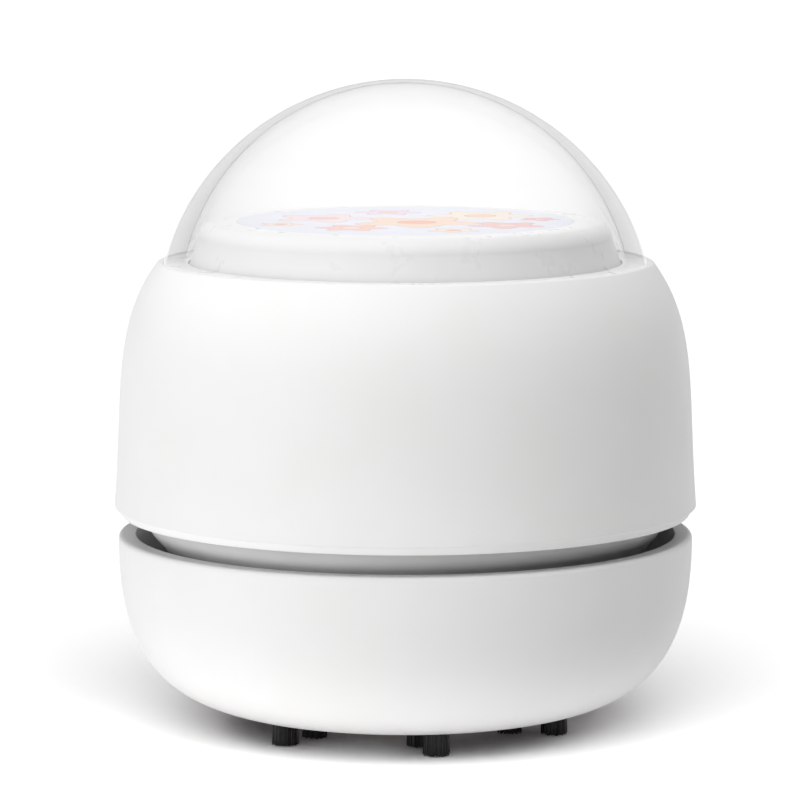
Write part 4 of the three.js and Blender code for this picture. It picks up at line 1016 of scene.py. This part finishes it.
def powerButton():
    size = nodeSize("power_button")
    radius, near, stem = back["buttonRadius"], back["near"], button["stemRadius"]
    flangeRadius, flangeFar = radius + back["flangeReach"], near + button["flangeThickness"]
    face = size.far
    dish = []
    for i in range(button["dishSteps"]):
        share = i / button["dishSteps"]
        dish.append((radius * (1 - share) * button["dishShare"],
                     face - button["dish"] * math.sin(math.pi / 2 * share)))
    piece = turned("powerButton", [
        (0, size.near), (stem, size.near, crisp), (stem, near), (flangeRadius, near, crisp),
        (flangeRadius, flangeFar, crisp), (radius, flangeFar), (radius, face, button["edge"]), *dish,
        (0, face - button["dish"])], "button", button["sides"])
    return laidAlongY(piece, back["buttonHeight"])


def chargingPort():
    size = nodeSize("charging_port")
    near, far, height = size.near, size.far, back["portHeight"]
    width, thickness = back["portWidth"], back["portThickness"]
    sleeve = barAlongY("portSleeve", stadium(width, thickness), near, far, height, "steel")
    bore = barAlongY("portBore", stadium(width - 2 * port["wall"], thickness - 2 * port["wall"]),
                     near + port["backWall"], far + overrun, height, "steel")
    tongue = barAlongY("portTongue", stadium(port["tongueWidth"], port["tongueThickness"]),
                       near + port["backWall"] / 2, near + (far - near) * port["tongueShare"], height,
                       "nylon")
    return carved(sleeve, [bore], edge=port["edge"]), tongue


def lightPipe():
    size = nodeSize("light_pipe")
    near, far, radius = size.near, size.far, back["lightRadius"]
    rod = turned("lightPipe", [(0, near), (radius, near, fine), (radius, far, back["lightRound"]), (0, far)],
                 "frosted", smallSides)
    return laidAlongY(rod, back["lightHeight"])


fit(powerButton(), "button", "button_white", "power_button")
portSleeve, portTongue = chargingPort()
fit(portSleeve, "head", "steel", "charging_port")
fit(portTongue, "head", "black_nylon")
fit(lightPipe(), "head", "light_diffuser", "light_pipe")
print("back made")


# Under the dome: the display stage and the round print in its recess
stage = {"wall": 1.8, "skirt": 1.4, "taper": 1.5, "round": 2.6, "roundEnd": 75, "recess": 0.9,
         "joint": 0.02, "discRound": 0.08, "steps": 12}
dome = {"footWall": 3, "wallTop": 0.55, "seat": 0.02, "ringDrop": 0.02, "joint": 0.006, "steps": 48}


def displayStage():
    size = nodeSize("display_stage")
    low, top, radius, wall = size.low, size.top, size.radius, stage["wall"]
    flatRadius = radius - stage["taper"] - stage["round"]
    seatRadius = discSize.radius + stage["joint"]
    edge = arc((flatRadius, top - stage["round"]), stage["round"], 0, stage["roundEnd"], stage["steps"])
    recess = top - stage["recess"]
    ceiling = recess - wall
    return turned("displayStage", [
        (radius - wall, low, crisp), (radius, low, crisp), (radius, low + stage["skirt"], rounded), *edge,
        (seatRadius, top, fine), (seatRadius, recess), (0, recess), (0, ceiling),
        (radius - stage["taper"] - wall, ceiling, full)], "stage")


def printDisc():
    low, top, radius = discSize.low, discSize.top, discSize.radius
    return turned("printedDisc", [
        (0, low), (radius, low, hairline), (radius, top, stage["discRound"]), (0, top)], "card")


domeRadius = grooveRadius - dome["seat"]


def clearDome():
    top = nodeSize("clear_dome").top
    foot = shellCrest - dome["ringDrop"] + dome["joint"]
    outer = cap(domeRadius, foot, top, dome["steps"])
    inner = cap(domeRadius - dome["footWall"], foot, top - dome["wallTop"], dome["steps"])
    return turned("clearDome", [*outer, *reversed(inner)], "acrylic", fineSides)


# The white ring in the crest's groove that the clear wall is bonded to
def domeRing():
    inner = nodeSize("display_stage").radius + dome["joint"]
    low, top = nodeSize("clear_dome").low, shellCrest - dome["ringDrop"]
    return turned("domeRing", [
        (inner, low, slight), (domeRadius, low, slight), (domeRadius, top), (inner, top)],
        "stage", fineSides)


fit(displayStage(), "head", "stage_white", "display_stage")
fit(printDisc(), "head", "print_card", "print_disc")
fit(clearDome(), "head", "dome_clear", "clear_dome")
fit(domeRing(), "head", "stage_white")
print("dome made")


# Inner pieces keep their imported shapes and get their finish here
innerFinishes = {
    "steel": ["motor_can", "battery_tab_left", "battery_tab_right", "button_spring",
              *["housing_screw_" + str(k + 1) for k in range(len(housing["postAngles"]))],
              *["deck_screw_" + str(k + 1) for k in range(len(bosses["angles"]))]],
    "inner": ["motor_deck", "battery_saddle_left", "battery_saddle_right"],
    "nylon": ["motor_end_cap", "power_switch"],
    "sleeve": ["battery_cell"],
    "board": ["control_board"],
    "redLead": ["battery_lead_left", "motor_lead_left"],
    "blackLead": ["battery_lead_right", "motor_lead_right"],
}
for finish, nodes in innerFinishes.items():
    for node in nodes:
        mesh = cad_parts[node].data
        mesh.materials.clear()
        mesh.materials.append(finishes[finish])
print("inner pieces finished")


# Studio: a pale sweep, a wide soft key from the left, soft light from above, and a camera at the
# photograph's angle. A glow has a share for what is seen straight, through the dome and in reflections
studio = {
    "floorSize": 60, "floorDrop": 0.05, "floorColour": "#f2f2f2", "floorPale": "#f6f6f6", "mottle": 60,
    "fillColour": "#fff2f0", "fill": 0.025, "worldStrength": 0.06,
    "floorGlow": {"Is Camera Ray": 0.5, "Is Transmission Ray": 0.32, "Is Glossy Ray": 0.25},
    "skyGlow": {"Is Camera Ray": 1.0, "Is Transmission Ray": 0.96, "Is Glossy Ray": 0.62},
    "lamps": [  # name, strength, spread, turn, what it lights
        ("key", 1.42, 45, (83, 0, -46), "part"),
        ("overhead", 0.2, 90, (14, 0, 0), "all"),
        ("top", 2.5, 30, (6, 5, 0), "part"),
        ("side", 0.32, 20, (80, 0, -80), "part"),
        ("wash", 2.9, 70, (40, 0, 0), "floor"),
    ],
    "cameraAt": (-0.795, -650, 130.957), "cameraTilt": 82.79, "lens": 199.11,
}


# Extra brightness of a backdrop for the rays that look at it, and none for a ray that has met a matt
# surface, so that the backdrop lights nothing more
def seenGlow(add, glow):
    path = add("LightPath")
    unlit = add("Math", {0: path.outputs["Diffuse Depth"], 1: 0.5}, operation="LESS_THAN")
    total = 0.0
    for ray, share in glow.items():
        total = add("Math", {0: path.outputs[ray], 1: share, 2: total}, operation="MULTIPLY_ADD")
    return add("Math", {0: total, 1: unlit}, operation="MULTIPLY")


# Matt paper sweep, mottled very faintly
def studioFloor():
    material, add = newMaterial("paperSweep")
    mottle = add("TexNoise", {
        "Vector": coordinates(add), "Scale": perMetre(studio["mottle"]), "Detail": 2.0})
    tone = add("Mix", {
        0: mottle, 6: hexColour(studio["floorColour"]), 7: hexColour(studio["floorPale"])}, data_type="RGBA")
    lift = add("Math", {0: seenGlow(add, studio["floorGlow"]), 1: 1.0}, operation="ADD")
    lifted = add("VectorMath", {0: tone.outputs[2], "Scale": lift}, operation="SCALE")
    card = add("BsdfDiffuse", {"Color": lifted})
    fill = add("Emission", {  # warm light that creeps under the cup
        "Color": hexColour(studio["fillColour"]), "Strength": studio["fill"]})
    both = add("AddShader", {0: card, 1: fill})
    add("OutputMaterial", {"Surface": both})
    reach, level = studio["floorSize"] / mm / 2, -studio["floorDrop"]
    corners = [(x * reach, y * reach, level) for x, y in ((-1, -1), (1, -1), (1, 1), (-1, 1))]
    floor = meshPiece("studioFloor", corners, [(0, 1, 2, 3)], material)
    return floor


def studioWorld():
    world = bpy.data.worlds.new("softWhite")
    bpy.context.scene.world = world
    world.use_nodes = True
    world.node_tree.nodes.clear()
    add = partial(addNode, world.node_tree)
    strength = add("Math", {
        0: seenGlow(add, studio["skyGlow"]), 1: studio["worldStrength"]}, operation="ADD")
    sky = add("Background", {"Strength": strength})
    add("OutputWorld", {"Surface": sky})


def studioLamps(floor):
    links = {}
    for name, state in (("part", "EXCLUDE"), ("floor", "INCLUDE")):
        links[name] = bpy.data.collections.new(name + "Only")
        links[name].objects.link(floor)
        links[name].collection_objects[0].light_linking.link_state = state
    for name, strength, spread, turn, lit in studio["lamps"]:
        lamp = bpy.data.lights.new(name, "SUN")
        lamp.energy = strength
        lamp.angle = math.radians(spread)
        light = bpy.data.objects.new(name, lamp)
        light.rotation_euler = [math.radians(a) for a in turn]
        light.visible_glossy = False  # no bright disc mirrored in the dome or seen through it
        light.visible_transmission = False
        bpy.context.scene.collection.objects.link(light)
        if lit != "all":
            light.light_linking.receiver_collection = links[lit]
        if lit == "part":  # a wide lamp near the horizon also shines up through the sweep
            light.light_linking.blocker_collection = links["part"]


def studioCamera():
    lens = bpy.data.cameras.new("camera")
    lens.lens = studio["lens"]
    lens.clip_end = 100
    camera = bpy.data.objects.new("camera", lens)
    camera.location = [c * mm for c in studio["cameraAt"]]
    camera.rotation_euler = (math.radians(studio["cameraTilt"]), 0, 0)
    bpy.context.scene.collection.objects.link(camera)
    bpy.context.scene.camera = camera


floor = studioFloor()
studioWorld()
studioLamps(floor)
studioCamera()
bpy.context.scene.view_settings.view_transform = "Standard"
print("studio set")
